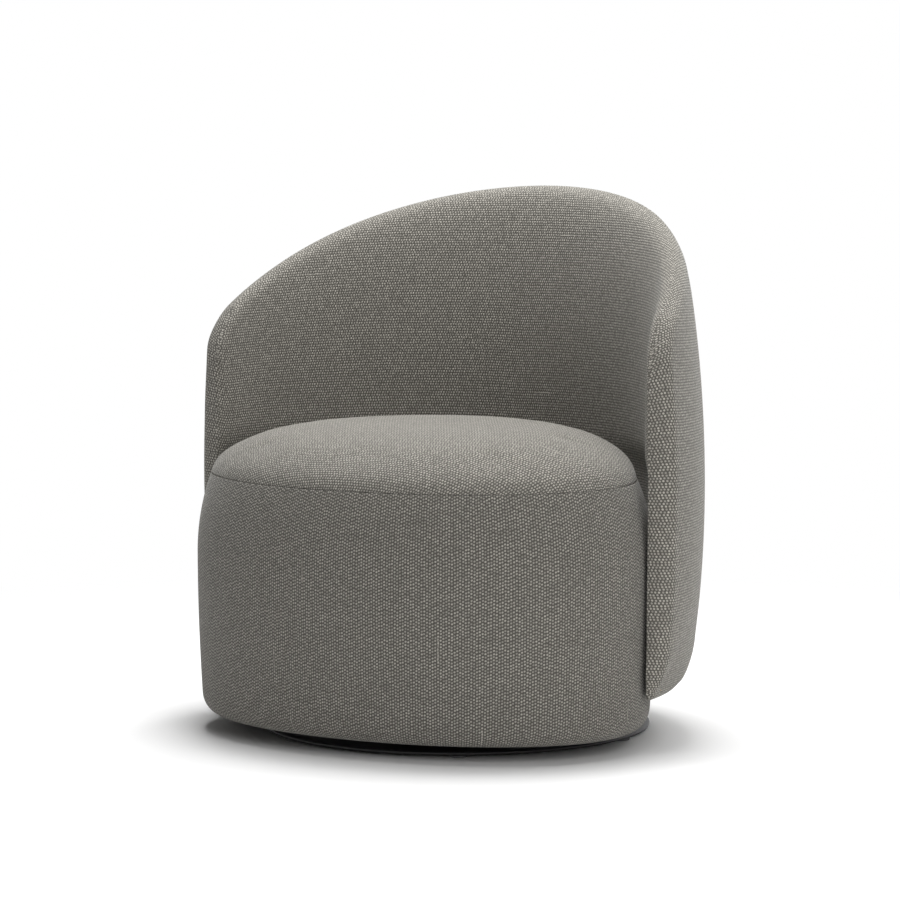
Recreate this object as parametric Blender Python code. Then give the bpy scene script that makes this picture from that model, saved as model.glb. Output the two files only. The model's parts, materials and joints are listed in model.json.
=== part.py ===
"""Swivel lounge chair: an upholstered drum seat and a wrap-around back on a ball-bearing swivel.

Metres, +Z up. The origin lies on the floor, on the swivel axis. The seat faces -Y, and the
chair is symmetric about X = 0. The base plate with its floor glides stands still. The seat
frame, its upholstery and the back turn together about +Z, on balls that roll between two
pressed plates while their cage turns at half the speed.
"""
import math

import bmesh
import bpy
import numpy as np
from mathutils import Matrix, Vector

# Whole chair
back_width = 0.760
chair_depth = 0.658
chair_height = 0.763
fit_gap = 0.0003
soft_gap = 0.0006
cut_overrun = 0.004
weld_distance = 0.000003
sharp_angle_deg = 40.0

# Base plate and floor glides
plate_radius = 0.282
plate_thickness = 0.005
plate_bore_radius = 0.016
plate_edge_round = 0.0025
glide_count = 6
glide_radius = 0.012
glide_height = 0.003
glide_chamfer = 0.0008
glide_edge_distance = 0.020

# Swivel bearing
bearing_side = 0.200
bearing_corner_radius = 0.022
bearing_sheet = 0.0022
ball_radius = 0.004
ball_circle_radius = 0.065
ball_count = 8
groove_clearance = 0.0005
groove_half_width = 0.0033
race_slope_width = 0.0060
cage_half_width = 0.009
cage_thickness = 0.0014
cage_pocket_clearance = 0.0003
kingpin_radius = 0.008
kingpin_bore_radius = 0.005
kingpin_flange_radius = 0.0135
kingpin_flange_thickness = 0.0015
kingpin_clearance = 0.0002
corner_hole_distance = 0.083
screw_radius = 0.003
screw_head_radius = 0.0055
screw_head_height = 0.0018
bolt_radius = 0.004
bolt_head_radius = 0.0075
bolt_head_height = 0.0045
hole_clearance = 0.0003

# Seat unit, outside of its fabric
seat_height = 0.423
seat_widest_share = 0.1482
seat_bottom = 0.023
seat_bulge_share = 0.694
seat_round_height = 0.063
seat_bottom_tuck = 0.0058
seat_corner_width = 0.022
seat_corner_height = 0.015
seat_seam_tuck = 0.0198
seat_round_share = 0.82
seat_front_power = 2.09
seat_rear_power = 1.85
seat_top_power = 2.1
seat_rise_slope = 0.0385
seat_rise_start = 0.194
seat_rise_span = 0.200
fabric_thickness = 0.002
seam_pinch = 0.0012
flange_share = 0.1004

# Seat frame and its filling
board_thickness = 0.018
board_inset = 0.021
board_chamfer = 0.009
board_bore_radius = 0.019
side_panel_thickness = 0.004
side_panel_inset = 0.0165
ring_thickness = 0.018
ring_width = 0.052
ring_drop = 0.042
ring_inset = 0.0225
post_width = 0.045
post_depth = 0.028
post_setback = 0.0022
post_edge_bevel = 0.003
web_width = 0.050
web_thickness = 0.002
web_count = 3
web_depth_share = 0.212
web_width_share = 0.163
web_ring_overlap = 0.030
web_flat_share = 1.1
web_ramp_share = 0.16
cambric_thickness = 0.0008
cambric_clearance = 0.009

# Wrap-around back, outside of its fabric
back_widest_share = 0.1277
back_plan_power = 1.97
wing_root_thickness = 0.0385
back_root_share = 0.2082
wing_reach = 0.008
wing_front_share = 0.5456
back_bottom = 0.072
wing_corner_share = 0.030
wing_corner_height = 0.045
back_gap_to_seat = 0.003
back_deepest = 0.165
wing_top_share = 0.4
top_flat_share = 0.602
top_drop_handle = 0.006
ridge_depth_rear = 0.0447
ridge_depth_wing = 0.0281
lumbar_drop = 0.029
back_widest_drop = 0.079
back_top_lean = 0.0452
back_bottom_lean = 0.0189
inner_lean_share = 0.249
top_round_outer = 0.057
bottom_round_outer = 0.078
bottom_round_inner = 0.019
front_round_outer = 0.046
front_round_inner = 0.018

# Moulded shell inside the back, and the bolts that join it to the seat frame
shell_thickness = 0.008
shell_edge_margin = 0.042
shell_bottom_margin = 0.012
shell_front_margin = 0.034
shell_offset = 0.001
shell_clearance = 0.0005
joint_height = 0.190
joint_angles_deg = (12.0, 66.0)
front_post_angle_deg = -52.0
spacer_radius = 0.009
spacer_bore_radius = 0.0046
back_bolt_head_height = 0.005
bolt_tip_share = 0.55
spacer_tip_share = 0.25

# Mesh fineness: counts, not sizes
plate_segments = 44
bearing_segments = 28
round_segments = 12
kingpin_segments = 18
seat_segments = 36
plan_steps = 400
search_steps = 40
rim_steps = 2
groove_steps = 4
corner_steps = 2
side_steps = 4
round_steps = 6
back_columns = 12
back_column_bias = 1.2
back_level_shares = (0, 0.003, 0.012, 0.03, 0.14, 0.36, 0.54, 0.70, 0.84, 0.93, 0.985, 1)
shell_columns = 9
shell_levels = 5

# Sizes worked out from those above
base_plate_bottom = glide_height + fit_gap
base_plate_top = base_plate_bottom + plate_thickness
board_bottom = seat_bottom + fabric_thickness + fit_gap
board_top = board_bottom + board_thickness
panel_bottom = board_bottom + board_chamfer
lower_sheet_bottom = base_plate_top + fit_gap
upper_sheet_top = board_bottom - fit_gap
ball_centre_height = (lower_sheet_bottom + upper_sheet_top) / 2
seat_seam_height = seat_height - seat_round_height
seat_bulge_height = seat_seam_height * seat_bulge_share
ring_top = seat_seam_height - ring_drop
ring_bottom = ring_top - ring_thickness
web_bottom = ring_top + fit_gap
seat_foam_bottom = web_bottom + 2 * web_thickness + 2 * fit_gap
seat_half_width = back_width / 2 - wing_root_thickness - back_gap_to_seat
back_root_depth = chair_depth * back_root_share
seat_depth = chair_depth - back_root_depth - back_gap_to_seat
flange_reach = seat_depth * flange_share
seat_widest_y = -chair_depth * seat_widest_share
seat_front_reach = chair_depth / 2 + seat_widest_y
seat_rear_reach = seat_depth - seat_front_reach
web_centre_y = seat_widest_y + (seat_rear_reach - seat_front_reach) / 2
back_widest_y = -chair_depth * back_widest_share
back_rear_radius = chair_depth / 2 - back_widest_y
wing_front_radius = chair_depth * wing_front_share
wing_top_height = seat_height + (chair_height - seat_height) * wing_top_share
lumbar_height = seat_height - lumbar_drop
back_widest_height = seat_height - back_widest_drop
cover_inner = fabric_thickness + soft_gap


def clear_scene():
    """Remove every object of the scene that the script starts in."""
    for thing in list(bpy.data.objects):
        bpy.data.objects.remove(thing, do_unlink=True)


def make_material(name, colour, roughness, metallic=0):
    """A Principled material with a base colour, a roughness and a metallic value."""
    material = bpy.data.materials.new(name)
    material.use_nodes = True
    shader = material.node_tree.nodes["Principled BSDF"]
    shader.inputs["Base Color"].default_value = (*colour, 1)
    shader.inputs["Roughness"].default_value = roughness
    shader.inputs["Metallic"].default_value = metallic
    material.diffuse_color = (*colour, 1)
    return material


def make_empty(name, location):
    """An empty on a joint's axis, which carries the pieces that turn about it."""
    empty = bpy.data.objects.new(name, None)
    empty.location = location
    bpy.context.collection.objects.link(empty)
    return empty


def add_object(name, bm, material, parent, location=(0, 0, 0)):
    """Turn a bmesh into a named object with outward faces, smooth shading and sharp edges."""
    bmesh.ops.recalc_face_normals(bm, faces=bm.faces)
    mesh = bpy.data.meshes.new(name)
    bm.to_mesh(mesh)
    bm.free()
    mesh.materials.append(material)
    mesh.shade_smooth()
    mesh.set_sharp_from_angle(angle=math.radians(sharp_angle_deg))
    thing = bpy.data.objects.new(name, mesh)
    thing.location = location
    thing.parent = parent
    bpy.context.collection.objects.link(thing)
    return thing


def add_copy(name, source, location, turn=0):
    """A further object that shares the mesh of an earlier one, turned about +Z."""
    thing = bpy.data.objects.new(name, source.data)
    thing.location = location
    thing.rotation_euler = (0, 0, turn)
    thing.parent = source.parent
    bpy.context.collection.objects.link(thing)
    return thing


def cut_with(thing, cutter):
    """Subtract a cutter from an object with an exact Boolean modifier."""
    boolean = thing.modifiers.new(cutter.name, "BOOLEAN")
    boolean.operation = "DIFFERENCE"
    boolean.solver = "EXACT"
    boolean.object = cutter


def hide_cutter(cutter):
    """Keep a cutter out of the model: it only shapes other pieces."""
    cutter.hide_render = True
    cutter.display_type = "WIRE"
    return cutter


def grid_mesh(grid, close_rows=False, close_columns=False, cap_rows=False, flip_rows=(),
              flip_columns=()):
    """A skin on a grid of points, rows by columns, with optional flat end caps.

    Each quad is split along one diagonal. A sheet's return side, whose rows or columns run the
    other way, is split along the other one, so that sheets which lie side by side bend along
    the same lines and keep their distance.
    """
    bm = bmesh.new()
    rings = [[bm.verts.new(point) for point in row] for row in grid]
    row_pairs = list(zip(rings, rings[1:]))
    if close_rows:
        row_pairs.append((rings[-1], rings[0]))
    width = len(rings[0])
    for i, (first, second) in enumerate(row_pairs):
        for k in range(width if close_columns else width - 1):
            after = (k + 1) % width
            quad = [first[k], first[after], second[after], second[k]]
            if (i in flip_rows) != (k in flip_columns):
                quad = quad[1:] + quad[:1]
            bm.faces.new(quad[:3])
            bm.faces.new(quad[2:] + quad[:1])
    if cap_rows:
        bm.faces.new(rings[0])
        bm.faces.new(rings[-1][::-1])
    return bm


def turned_mesh(profile, segments, closed=True):
    """A solid turned about +Z: its closed profile, or one that starts and ends on the axis."""
    turn = np.linspace(0, 2 * np.pi, segments, endpoint=False)
    grid = [[(r * math.cos(a), r * math.sin(a), z) for a in turn] for r, z in profile]
    return grid_mesh(grid, close_rows=closed, close_columns=True, cap_rows=not closed)


def box_mesh(width, depth, height):
    """A block that stands on its origin."""
    bm = bmesh.new()
    bmesh.ops.create_cube(bm, size=1)
    bmesh.ops.scale(bm, vec=(width, depth, height), verts=bm.verts)
    bmesh.ops.translate(bm, vec=(0, 0, height / 2), verts=bm.verts)
    return bm


def cylinder_mesh(radius, low, high):
    """A round bar about +Z between two heights."""
    return turned_mesh([(radius, low), (radius, high)], round_segments, closed=False)


def join_meshes(pieces):
    """Several separate shapes in one bmesh, each moved by its own matrix."""
    joined = bmesh.new()
    for bm, matrix in pieces:
        bmesh.ops.transform(bm, matrix=matrix, verts=bm.verts)
        part = bpy.data.meshes.new("part")
        bm.to_mesh(part)
        bm.free()
        joined.from_mesh(part)
        bpy.data.meshes.remove(part)
    return joined


# Curves that several pieces share

def signed_power(value, power):
    """Keep the sign of a value and raise its size to a power."""
    return np.sign(value) * np.abs(value) ** power


def seat_outline(inset, count=seat_segments):
    """The seat seen from above: two half superellipses that meet at the widest line."""
    turn = np.linspace(0, 2 * np.pi, count, endpoint=False)
    front = np.sin(turn) < 0
    power = np.where(front, 2 / seat_front_power, 2 / seat_rear_power)
    reach = np.where(front, seat_front_reach, seat_rear_reach)
    x = (seat_half_width - inset) * signed_power(np.cos(turn), power)
    y = (reach - inset) * signed_power(np.sin(turn), power) + seat_widest_y
    return x, y


def seat_point(angle, inset):
    """A point of the seat's outline and its outward direction, by the angle of the outline."""
    front = math.sin(angle) < 0
    power = 2 / (seat_front_power if front else seat_rear_power)
    reach = seat_front_reach if front else seat_rear_reach
    x = (seat_half_width - inset) * signed_power(math.cos(angle), power)
    y = (reach - inset) * signed_power(math.sin(angle), power)
    exponent = seat_front_power if front else seat_rear_power
    slope_x = signed_power(x / (seat_half_width - inset), exponent - 1) / (seat_half_width - inset)
    slope_y = signed_power(y / (reach - inset), exponent - 1) / (reach - inset)
    outward = Vector((slope_x, slope_y, 0)).normalized()
    return Vector((x, y + seat_widest_y, 0)), outward


def seat_ring(inset, height, rising=True):
    """A closed row of points round the seat. The upholstery's upper part rises to the rear."""
    x, y = seat_outline(inset)
    share = np.clip((height - seat_rise_start) / seat_rise_span, 0, 1) if rising else 0
    front_y = seat_widest_y - seat_front_reach
    z = height + seat_rise_slope * share * (y - front_y)
    return np.stack([x, y, np.broadcast_to(z, x.shape)], axis=-1)


def side_profile():
    """The seat side's (inset, height) points from the bottom corner up to the seam."""
    points = []
    for k in range(corner_steps):
        a = k / corner_steps * math.pi / 2
        inset = seat_bottom_tuck + seat_corner_width * (1 - math.sin(a))
        points.append((inset, seat_bottom + seat_corner_height * (1 - math.cos(a))))
    corner_top = seat_bottom + seat_corner_height
    for height in np.linspace(corner_top, seat_seam_height, side_steps + 1):
        low = np.clip((seat_bulge_height - height) / (seat_bulge_height - corner_top), 0, 1)
        high = (height - seat_bulge_height) / (seat_seam_height - seat_bulge_height)
        inset = seat_bottom_tuck * low ** 2 + seat_seam_tuck * np.clip(high, 0, 1) ** 2
        points.append((float(inset), float(height)))
    return points


def top_profile():
    """The seat top's (inset, height) points: a quarter superellipse from the seam to the crown."""
    points = []
    width = seat_front_reach * seat_round_share
    for k in range(round_steps + 1):
        a = k / round_steps * math.pi / 2
        across = 1 - math.cos(a) ** (2 / seat_top_power)
        up = math.sin(a) ** (2 / seat_top_power)
        points.append((seat_seam_tuck + width * across, seat_seam_height + seat_round_height * up))
    return points


def offset_profile(points, depth):
    """Move an (inset, height) profile inwards, square to itself, by a depth."""
    moved = []
    for k, (inset, height) in enumerate(points):
        before = points[max(k - 1, 0)]
        after = points[min(k + 1, len(points) - 1)]
        along = Vector((after[0] - before[0], after[1] - before[1])).normalized()
        moved.append((inset + along.y * depth, height - along.x * depth))
    return moved


def inset_at(profile, height):
    """The inset of an (inset, height) profile at one height."""
    insets, heights = zip(*profile)
    return float(np.interp(height, heights, insets))


def back_plan(share):
    """The back's outer line seen from above, at shares of its length from rear to wing front.

    Returns the points and the outward directions. A superellipse runs from the rear, where the
    share is 0, round to the widest line and on to the wing's front, where it is 1.
    """
    end = math.asin((wing_reach / wing_front_radius) ** (back_plan_power / 2))
    turn = np.linspace(math.pi / 2, -end, plan_steps)
    power = 2 / back_plan_power
    reach = np.where(turn < 0, wing_front_radius, back_rear_radius)
    x = back_width / 2 * signed_power(np.cos(turn), power)
    y = reach * signed_power(np.sin(turn), power) + back_widest_y
    length = np.concatenate([[0], np.cumsum(np.hypot(np.diff(x), np.diff(y)))])
    along_x = np.gradient(x, length)
    along_y = np.gradient(y, length)
    at = share * length[-1]
    points = np.stack([np.interp(at, length, x), np.interp(at, length, y)], axis=-1)
    outward = np.stack([-np.interp(at, length, along_y), np.interp(at, length, along_x)], axis=-1)
    outward /= np.linalg.norm(outward, axis=-1, keepdims=True)
    return points, outward, length[-1]


def back_top_height(share):
    """The back's top edge: one cubic curve that stays level at the rear and drops at the wing."""
    u = np.linspace(0, 1, plan_steps)
    hold = 3 * (1 - u) ** 2 * u
    drop = 3 * (1 - u) * u ** 2
    along = hold * top_flat_share + drop + u ** 3
    height = (1 - u) ** 3 * chair_height + hold * chair_height
    height = height + drop * (wing_top_height + top_drop_handle) + u ** 3 * wing_top_height
    return np.interp(share, along, height)


def back_bottom_height(share):
    """The back's lower edge, with a round corner at the wing's front."""
    corner = np.clip((share - (1 - wing_corner_share)) / wing_corner_share, 0, 1)
    return back_bottom + wing_corner_height * (1 - np.sqrt(np.maximum(1 - corner ** 2, 0)))


def thickness_to_seat(points, outward):
    """How far the back reaches in at seat level, where it follows the seat's outline.

    Bisection on the line from the outer plan inwards finds where it meets that outline.
    """
    near = np.zeros(len(points))
    far = np.full(len(points), back_deepest)
    for _ in range(search_steps):
        middle = (near + far) / 2
        x = points[:, 0] - outward[:, 0] * middle
        y = points[:, 1] - outward[:, 1] * middle - seat_widest_y
        reach = np.where(y < 0, seat_front_reach, seat_rear_reach) + back_gap_to_seat
        power = np.where(y < 0, seat_front_power, seat_rear_power)
        level = np.abs(x / (seat_half_width + back_gap_to_seat)) ** power
        outside = level + np.abs(y / reach) ** power > 1
        near = np.where(outside, middle, near)
        far = np.where(outside, far, middle)
    return near


def edge_round(distance, radius):
    """A quarter-ellipse rounding: 0 at the edge, 1 from the given radius inwards."""
    share = np.clip(distance / radius, 0, 1)
    return np.sqrt(np.maximum(1 - (1 - share) ** 2, 0))


def back_offsets(share, height, inset=0):
    """Offsets of the back's ridge, outer and inner face from the outer plan, outwards positive.

    The outer face leans in above and below its widest height. The inner face follows the seat.
    """
    blend = 3 * share ** 2 - 2 * share ** 3
    points, outward, _ = back_plan(share)
    ridge_depth = ridge_depth_rear + (ridge_depth_wing - ridge_depth_rear) * blend
    above = np.clip((height - back_widest_height) / (chair_height - back_widest_height), 0, 1)
    below = np.clip((back_widest_height - height) / (back_widest_height - back_bottom), 0, 1)
    outer = -back_top_lean * above ** 2 - back_bottom_lean * below ** 2
    ridge = outer * inner_lean_share - ridge_depth
    outer_width = outer - ridge - inset
    inner_width = thickness_to_seat(points, outward) - ridge_depth - inset
    return ridge, outer_width, inner_width


def back_shares(columns):
    """Shares along the back from rear to wing front, closer together towards the front."""
    step = np.sin(np.linspace(0, np.pi / 2, columns + 1))
    return 1 - (1 - step) ** back_column_bias


def back_column(share, inset):
    """One section of the back: its inner face going up and its outer face going down.

    Above lumbar height the inner face is a quarter ellipse that flares out to the top edge.
    """
    low = back_bottom_height(share) + inset
    high = back_top_height(share) - inset
    height = low + (high - low) * np.array(back_level_shares)
    points, outward, length = back_plan(np.array([share]))
    ridge, outer_width, inner_width = back_offsets(np.full(len(height), share), height, inset)
    from_front = (1 - share) * length
    outer_edge = edge_round(high - height, top_round_outer - inset)
    outer_edge *= edge_round(height - low, bottom_round_outer - inset)
    outer_edge *= edge_round(from_front, front_round_outer - inset)
    inner_edge = edge_round(high - height, high - lumbar_height)
    inner_edge *= edge_round(height - low, bottom_round_inner - inset)
    inner_edge *= edge_round(from_front, front_round_inner - inset)
    outside = ridge + outer_width * outer_edge
    inside = ridge - inner_width * inner_edge
    offsets = np.concatenate([inside, outside[-2:0:-1]])
    heights = np.concatenate([height, height[-2:0:-1]])
    # Towards the wing's front the inner surfaces also step back along the plan.
    shift = inset * outward[0][::-1] * (-1, 1) * share
    x = points[0, 0] + outward[0, 0] * offsets + shift[0]
    y = points[0, 1] + outward[0, 1] * offsets + shift[1]
    return np.stack([x, y, heights], axis=-1)


def back_surface(inset):
    """All sections from one wing's front round the rear to the other wing's front."""
    half = np.array([back_column(share, inset) for share in back_shares(back_columns)])
    other = half[:0:-1] * (-1, 1, 1)
    return np.concatenate([other, half])


# Base

def build_base(materials):
    """The floor plate with its glides, and the lower half of the bearing."""
    build_base_plate(materials)
    build_glides(materials)
    build_bearing_plate("swivel_lower_plate", materials, None, 1)
    build_kingpin(materials)
    build_lower_screws(materials)


def build_base_plate(materials):
    """A powder-coated steel disc with a rounded upper edge and a bore for the kingpin."""
    rim = []
    for k in range(rim_steps + 1):
        a = k / rim_steps * math.pi / 2
        rim.append((plate_radius - plate_edge_round * (1 - math.cos(a)),
                    base_plate_top - plate_edge_round * (1 - math.sin(a))))
    profile = [(plate_bore_radius, base_plate_bottom), (plate_radius, base_plate_bottom)]
    profile += rim + [(plate_bore_radius, base_plate_top)]
    add_object("base_plate", turned_mesh(profile, plate_segments), materials["black"], None)


def build_glides(materials):
    """Nylon pads under the plate's rim, with a chamfer at the floor."""
    profile = [(glide_radius - glide_chamfer, 0), (glide_radius, glide_chamfer),
               (glide_radius, glide_height)]
    first = None
    reach = plate_radius - glide_edge_distance
    for k in range(glide_count):
        angle = 2 * math.pi * k / glide_count
        place = (reach * math.cos(angle), reach * math.sin(angle), 0)
        name = f"floor_glide_{k + 1}"
        if first is None:
            mesh = turned_mesh(profile, round_segments, closed=False)
            first = add_object(name, mesh, materials["nylon"], None, place)
        else:
            add_copy(name, first, place)


def square_reach(angle):
    """The distance from the centre to a rounded square's edge, in one direction."""
    half = bearing_side / 2
    straight = half - bearing_corner_radius
    c = abs(math.cos(angle))
    s = abs(math.sin(angle))
    if half * min(c, s) / max(c, s) <= straight:
        return half / max(c, s)
    along = straight * (c + s)
    return along + math.sqrt(along ** 2 - 2 * straight ** 2 + bearing_corner_radius ** 2)


def race_rows(bore_radius, steps):
    """The pressed plate's section: (radius, height over the sheet's flat) with the ball race.

    A radius of None stands for the rounded square's edge. The groove is an arc about the
    ball's centre, wider than the ball by the groove's clearance.
    """
    flat = 0
    centre = ball_centre_height - (lower_sheet_bottom + bearing_sheet)
    groove_radius = ball_radius + groove_clearance
    rows = [(bore_radius, flat)]
    groove = []
    for k in range(steps + 1):
        across = groove_half_width * (2 * k / steps - 1)
        depth = centre - math.sqrt(groove_radius ** 2 - across ** 2)
        groove.append((ball_circle_radius + across, depth))
    outward = groove_half_width + race_slope_width
    rows.append((ball_circle_radius - outward, flat))
    rows += groove
    rows.append((ball_circle_radius + outward, flat))
    rows.append((None, flat))
    return rows


def build_bearing_plate(name, materials, parent, side):
    """A square pressed plate with a round ball race, facing up (1) or down (-1)."""
    flat = lower_sheet_bottom if side > 0 else upper_sheet_top
    bore = kingpin_radius + kingpin_clearance
    turn = np.linspace(0, 2 * np.pi, bearing_segments, endpoint=False) + np.pi / 4
    faces = [(r, z + bearing_sheet) for r, z in race_rows(bore, groove_steps)]
    faces += race_rows(bore, groove_steps // 2)[::-1]
    grid = []
    for radius, height in faces:
        ring = []
        for a in turn:
            reach = square_reach(a) if radius is None else radius
            ring.append((reach * math.cos(a), reach * math.sin(a), flat + side * height))
        grid.append(ring)
    sheet = grid_mesh(grid, close_rows=True, close_columns=True)
    plate = add_object(name, sheet, materials["zinc"], parent)
    hole = screw_radius if side > 0 else bolt_radius
    cut_with(plate, corner_cutter(name + "_holes", hole + hole_clearance, side, materials))


def corner_places():
    """The four corners where the bearing's plates are fastened."""
    for x in (-1, 1):
        for y in (-1, 1):
            yield x * corner_hole_distance, y * corner_hole_distance


def corner_cutter(name, radius, side, materials):
    """Four upright cylinders at the corners of one bearing plate."""
    low = lower_sheet_bottom if side > 0 else upper_sheet_top - bearing_sheet
    pieces = []
    for x, y in corner_places():
        bar = cylinder_mesh(radius, low - cut_overrun, low + bearing_sheet + cut_overrun)
        pieces.append((bar, Matrix.Translation((x, y, 0))))
    return hide_cutter(add_object(name, join_meshes(pieces), materials["cutter"], None))


def build_kingpin(materials):
    """A hollow rivet that holds the two plates together and lets the upper one turn."""
    low_flange = lower_sheet_bottom - fit_gap - kingpin_flange_thickness
    high_flange = upper_sheet_top + fit_gap
    profile = [(kingpin_bore_radius, low_flange), (kingpin_flange_radius, low_flange),
               (kingpin_flange_radius, lower_sheet_bottom - fit_gap),
               (kingpin_radius, lower_sheet_bottom - fit_gap), (kingpin_radius, high_flange),
               (kingpin_flange_radius, high_flange),
               (kingpin_flange_radius, high_flange + kingpin_flange_thickness),
               (kingpin_bore_radius, high_flange + kingpin_flange_thickness)]
    add_object("swivel_kingpin", turned_mesh(profile, kingpin_segments), materials["steel"], None)


def build_lower_screws(materials):
    """Pan-head screws that hold the lower plate on the base plate."""
    head_low = lower_sheet_bottom + bearing_sheet + fit_gap
    head_high = head_low + screw_head_height
    cuts = []
    first = None
    for k, (x, y) in enumerate(corner_places()):
        profile = [(screw_radius, base_plate_bottom + fit_gap), (screw_radius, head_low),
                   (screw_head_radius, head_low), (screw_radius, head_high)]
        name = f"lower_plate_screw_{k + 1}"
        if first is None:
            mesh = turned_mesh(profile, round_segments, closed=False)
            first = add_object(name, mesh, materials["steel"], None, (x, y, 0))
        else:
            add_copy(name, first, (x, y, 0))
        bar = cylinder_mesh(screw_radius + hole_clearance, base_plate_bottom - cut_overrun,
                            base_plate_top + cut_overrun)
        cuts.append((bar, Matrix.Translation((x, y, 0))))
    cutter = add_object("base_plate_holes", join_meshes(cuts), materials["cutter"], None)
    cut_with(bpy.data.objects["base_plate"], hide_cutter(cutter))


# Ball cage

def build_cage(materials, axis):
    """A flat nylon ring with a pocket for each ball, and the balls."""
    low = ball_centre_height - cage_thickness / 2
    high = ball_centre_height + cage_thickness / 2
    inner = ball_circle_radius - cage_half_width
    outer = ball_circle_radius + cage_half_width
    profile = [(inner, low), (outer, low), (outer, high), (inner, high)]
    cage = add_object("ball_cage", turned_mesh(profile, bearing_segments), materials["nylon"], axis)
    pockets = []
    first = None
    for k in range(ball_count):
        angle = 2 * math.pi * k / ball_count
        place = Vector((ball_circle_radius * math.cos(angle),
                        ball_circle_radius * math.sin(angle), 0))
        bar = cylinder_mesh(ball_radius + cage_pocket_clearance, low - cut_overrun,
                            high + cut_overrun)
        pockets.append((bar, Matrix.Translation(place)))
        name = f"bearing_ball_{k + 1}"
        centre = place + Vector((0, 0, ball_centre_height))
        if first is None:
            ball = bmesh.new()
            bmesh.ops.create_icosphere(ball, subdivisions=2, radius=ball_radius)
            first = add_object(name, ball, materials["steel"], axis, centre)
        else:
            add_copy(name, first, centre)
    cutter = add_object("cage_pockets", join_meshes(pockets), materials["cutter"], None)
    cut_with(cage, hide_cutter(cutter))


# Seat frame

def build_seat_frame(materials, axis):
    """The upper bearing plate and the wooden drum that stands on it."""
    build_bearing_plate("swivel_upper_plate", materials, axis, -1)
    build_board(materials, axis)
    build_upper_bolts(materials, axis)
    build_posts(materials, axis)
    build_top_ring(materials, axis)
    build_side_panel(materials, axis)
    build_webbing(materials, axis)
    build_cambric(materials, axis)


def build_board(materials, axis):
    """The plywood seat board, with a bore over the kingpin and four bolt holes."""
    rows = [seat_ring(board_inset + board_chamfer, board_bottom, False),
            seat_ring(board_inset, panel_bottom, False),
            seat_ring(board_inset, board_top, False)]
    board = add_object("seat_base_board", grid_mesh(rows, close_columns=True, cap_rows=True),
                       materials["plywood"], axis)
    cuts = [(cylinder_mesh(board_bore_radius, board_bottom - cut_overrun, board_top + cut_overrun),
             Matrix.Identity(4))]
    for x, y in corner_places():
        bar = cylinder_mesh(bolt_radius + hole_clearance, board_bottom - cut_overrun,
                            board_top + cut_overrun)
        cuts.append((bar, Matrix.Translation((x, y, 0))))
    cutter = add_object("board_holes", join_meshes(cuts), materials["cutter"], None)
    cut_with(board, hide_cutter(cutter))


def build_upper_bolts(materials, axis):
    """Bolts from inside the seat, through the board into the upper bearing plate."""
    shank_low = upper_sheet_top - bearing_sheet
    head_low = board_top + fit_gap
    profile = [(bolt_radius, shank_low), (bolt_radius, head_low), (bolt_head_radius, head_low),
               (bolt_head_radius, head_low + bolt_head_height)]
    first = None
    for k, (x, y) in enumerate(corner_places()):
        name = f"upper_plate_bolt_{k + 1}"
        if first is None:
            mesh = turned_mesh(profile, round_segments, closed=False)
            first = add_object(name, mesh, materials["steel"], axis, (x, y, 0))
        else:
            add_copy(name, first, (x, y, 0))


def joint_sides():
    """The four places, two a side, where the back is bolted to the seat's posts."""
    for angle in joint_angles_deg:
        for turned in (angle, 180 - angle):
            yield math.radians(turned)


def post_sides():
    """All the posts: one behind each bolted place and two at the front."""
    yield from joint_sides()
    for turned in (front_post_angle_deg, 180 - front_post_angle_deg):
        yield math.radians(turned)


def post_frame(angle):
    """The middle of a post's outer face on the side panel's inner face, and its direction."""
    return seat_point(angle, side_panel_inset + side_panel_thickness + fit_gap)


def build_posts(materials, axis):
    """Wooden posts between the seat board and the top ring, square to the outline."""
    low = board_top + fit_gap
    height = ring_bottom - fit_gap - low
    first = None
    for k, angle in enumerate(post_sides()):
        point, outward = post_frame(angle)
        centre = point - outward * (post_depth / 2 + post_setback)
        turn = math.atan2(outward.y, outward.x) - math.pi / 2
        name = f"seat_post_{k + 1}"
        place = (centre.x, centre.y, low)
        if first is None:
            mesh = box_mesh(post_width, post_depth, height)
            upright = [edge for edge in mesh.edges if edge.calc_length() > height / 2]
            bmesh.ops.bevel(mesh, geom=upright, offset=post_edge_bevel, segments=1,
                            affect="EDGES")
            first = add_object(name, mesh, materials["beech"], axis, place)
            first.rotation_euler = (0, 0, turn)
        else:
            add_copy(name, first, place, turn)


def build_top_ring(materials, axis):
    """The plywood ring that carries the webbing and the seat foam."""
    insets = (ring_inset, ring_inset + ring_width)
    rows = [seat_ring(insets[0], ring_bottom, False),
            seat_ring(insets[0], ring_top, False),
            seat_ring(insets[1], ring_top, False),
            seat_ring(insets[1], ring_bottom, False)]
    add_object("seat_top_ring", grid_mesh(rows, close_rows=True, close_columns=True),
               materials["plywood"], axis)


def build_side_panel(materials, axis):
    """A band of bent board round the posts, from the seat board up to the ring's top."""
    inner = side_panel_inset + side_panel_thickness
    rows = [seat_ring(side_panel_inset, panel_bottom, False),
            seat_ring(side_panel_inset, ring_top, False),
            seat_ring(inner, ring_top, False),
            seat_ring(inner, panel_bottom, False)]
    add_object("seat_side_panel", grid_mesh(rows, close_rows=True, close_columns=True),
               materials["hardboard"], axis)


def strap_wave(start, stop, first, pitch, sign):
    """Places along a strap and its rise there: over and under its crossings, low at both ends."""
    lift = web_thickness / 2 + fit_gap
    flat = web_width * web_flat_share / 2
    ramp = pitch * web_ramp_share
    run = [start, first - flat - ramp]
    wave = [-lift, -lift]
    for k in range(web_count):
        crossing = first + k * pitch
        run += [crossing - flat, crossing + flat]
        wave += [lift * sign * (-1) ** k] * 2
    run += [first + (web_count - 1) * pitch + flat + ramp, stop]
    wave += [-lift, -lift]
    return run, wave


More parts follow.
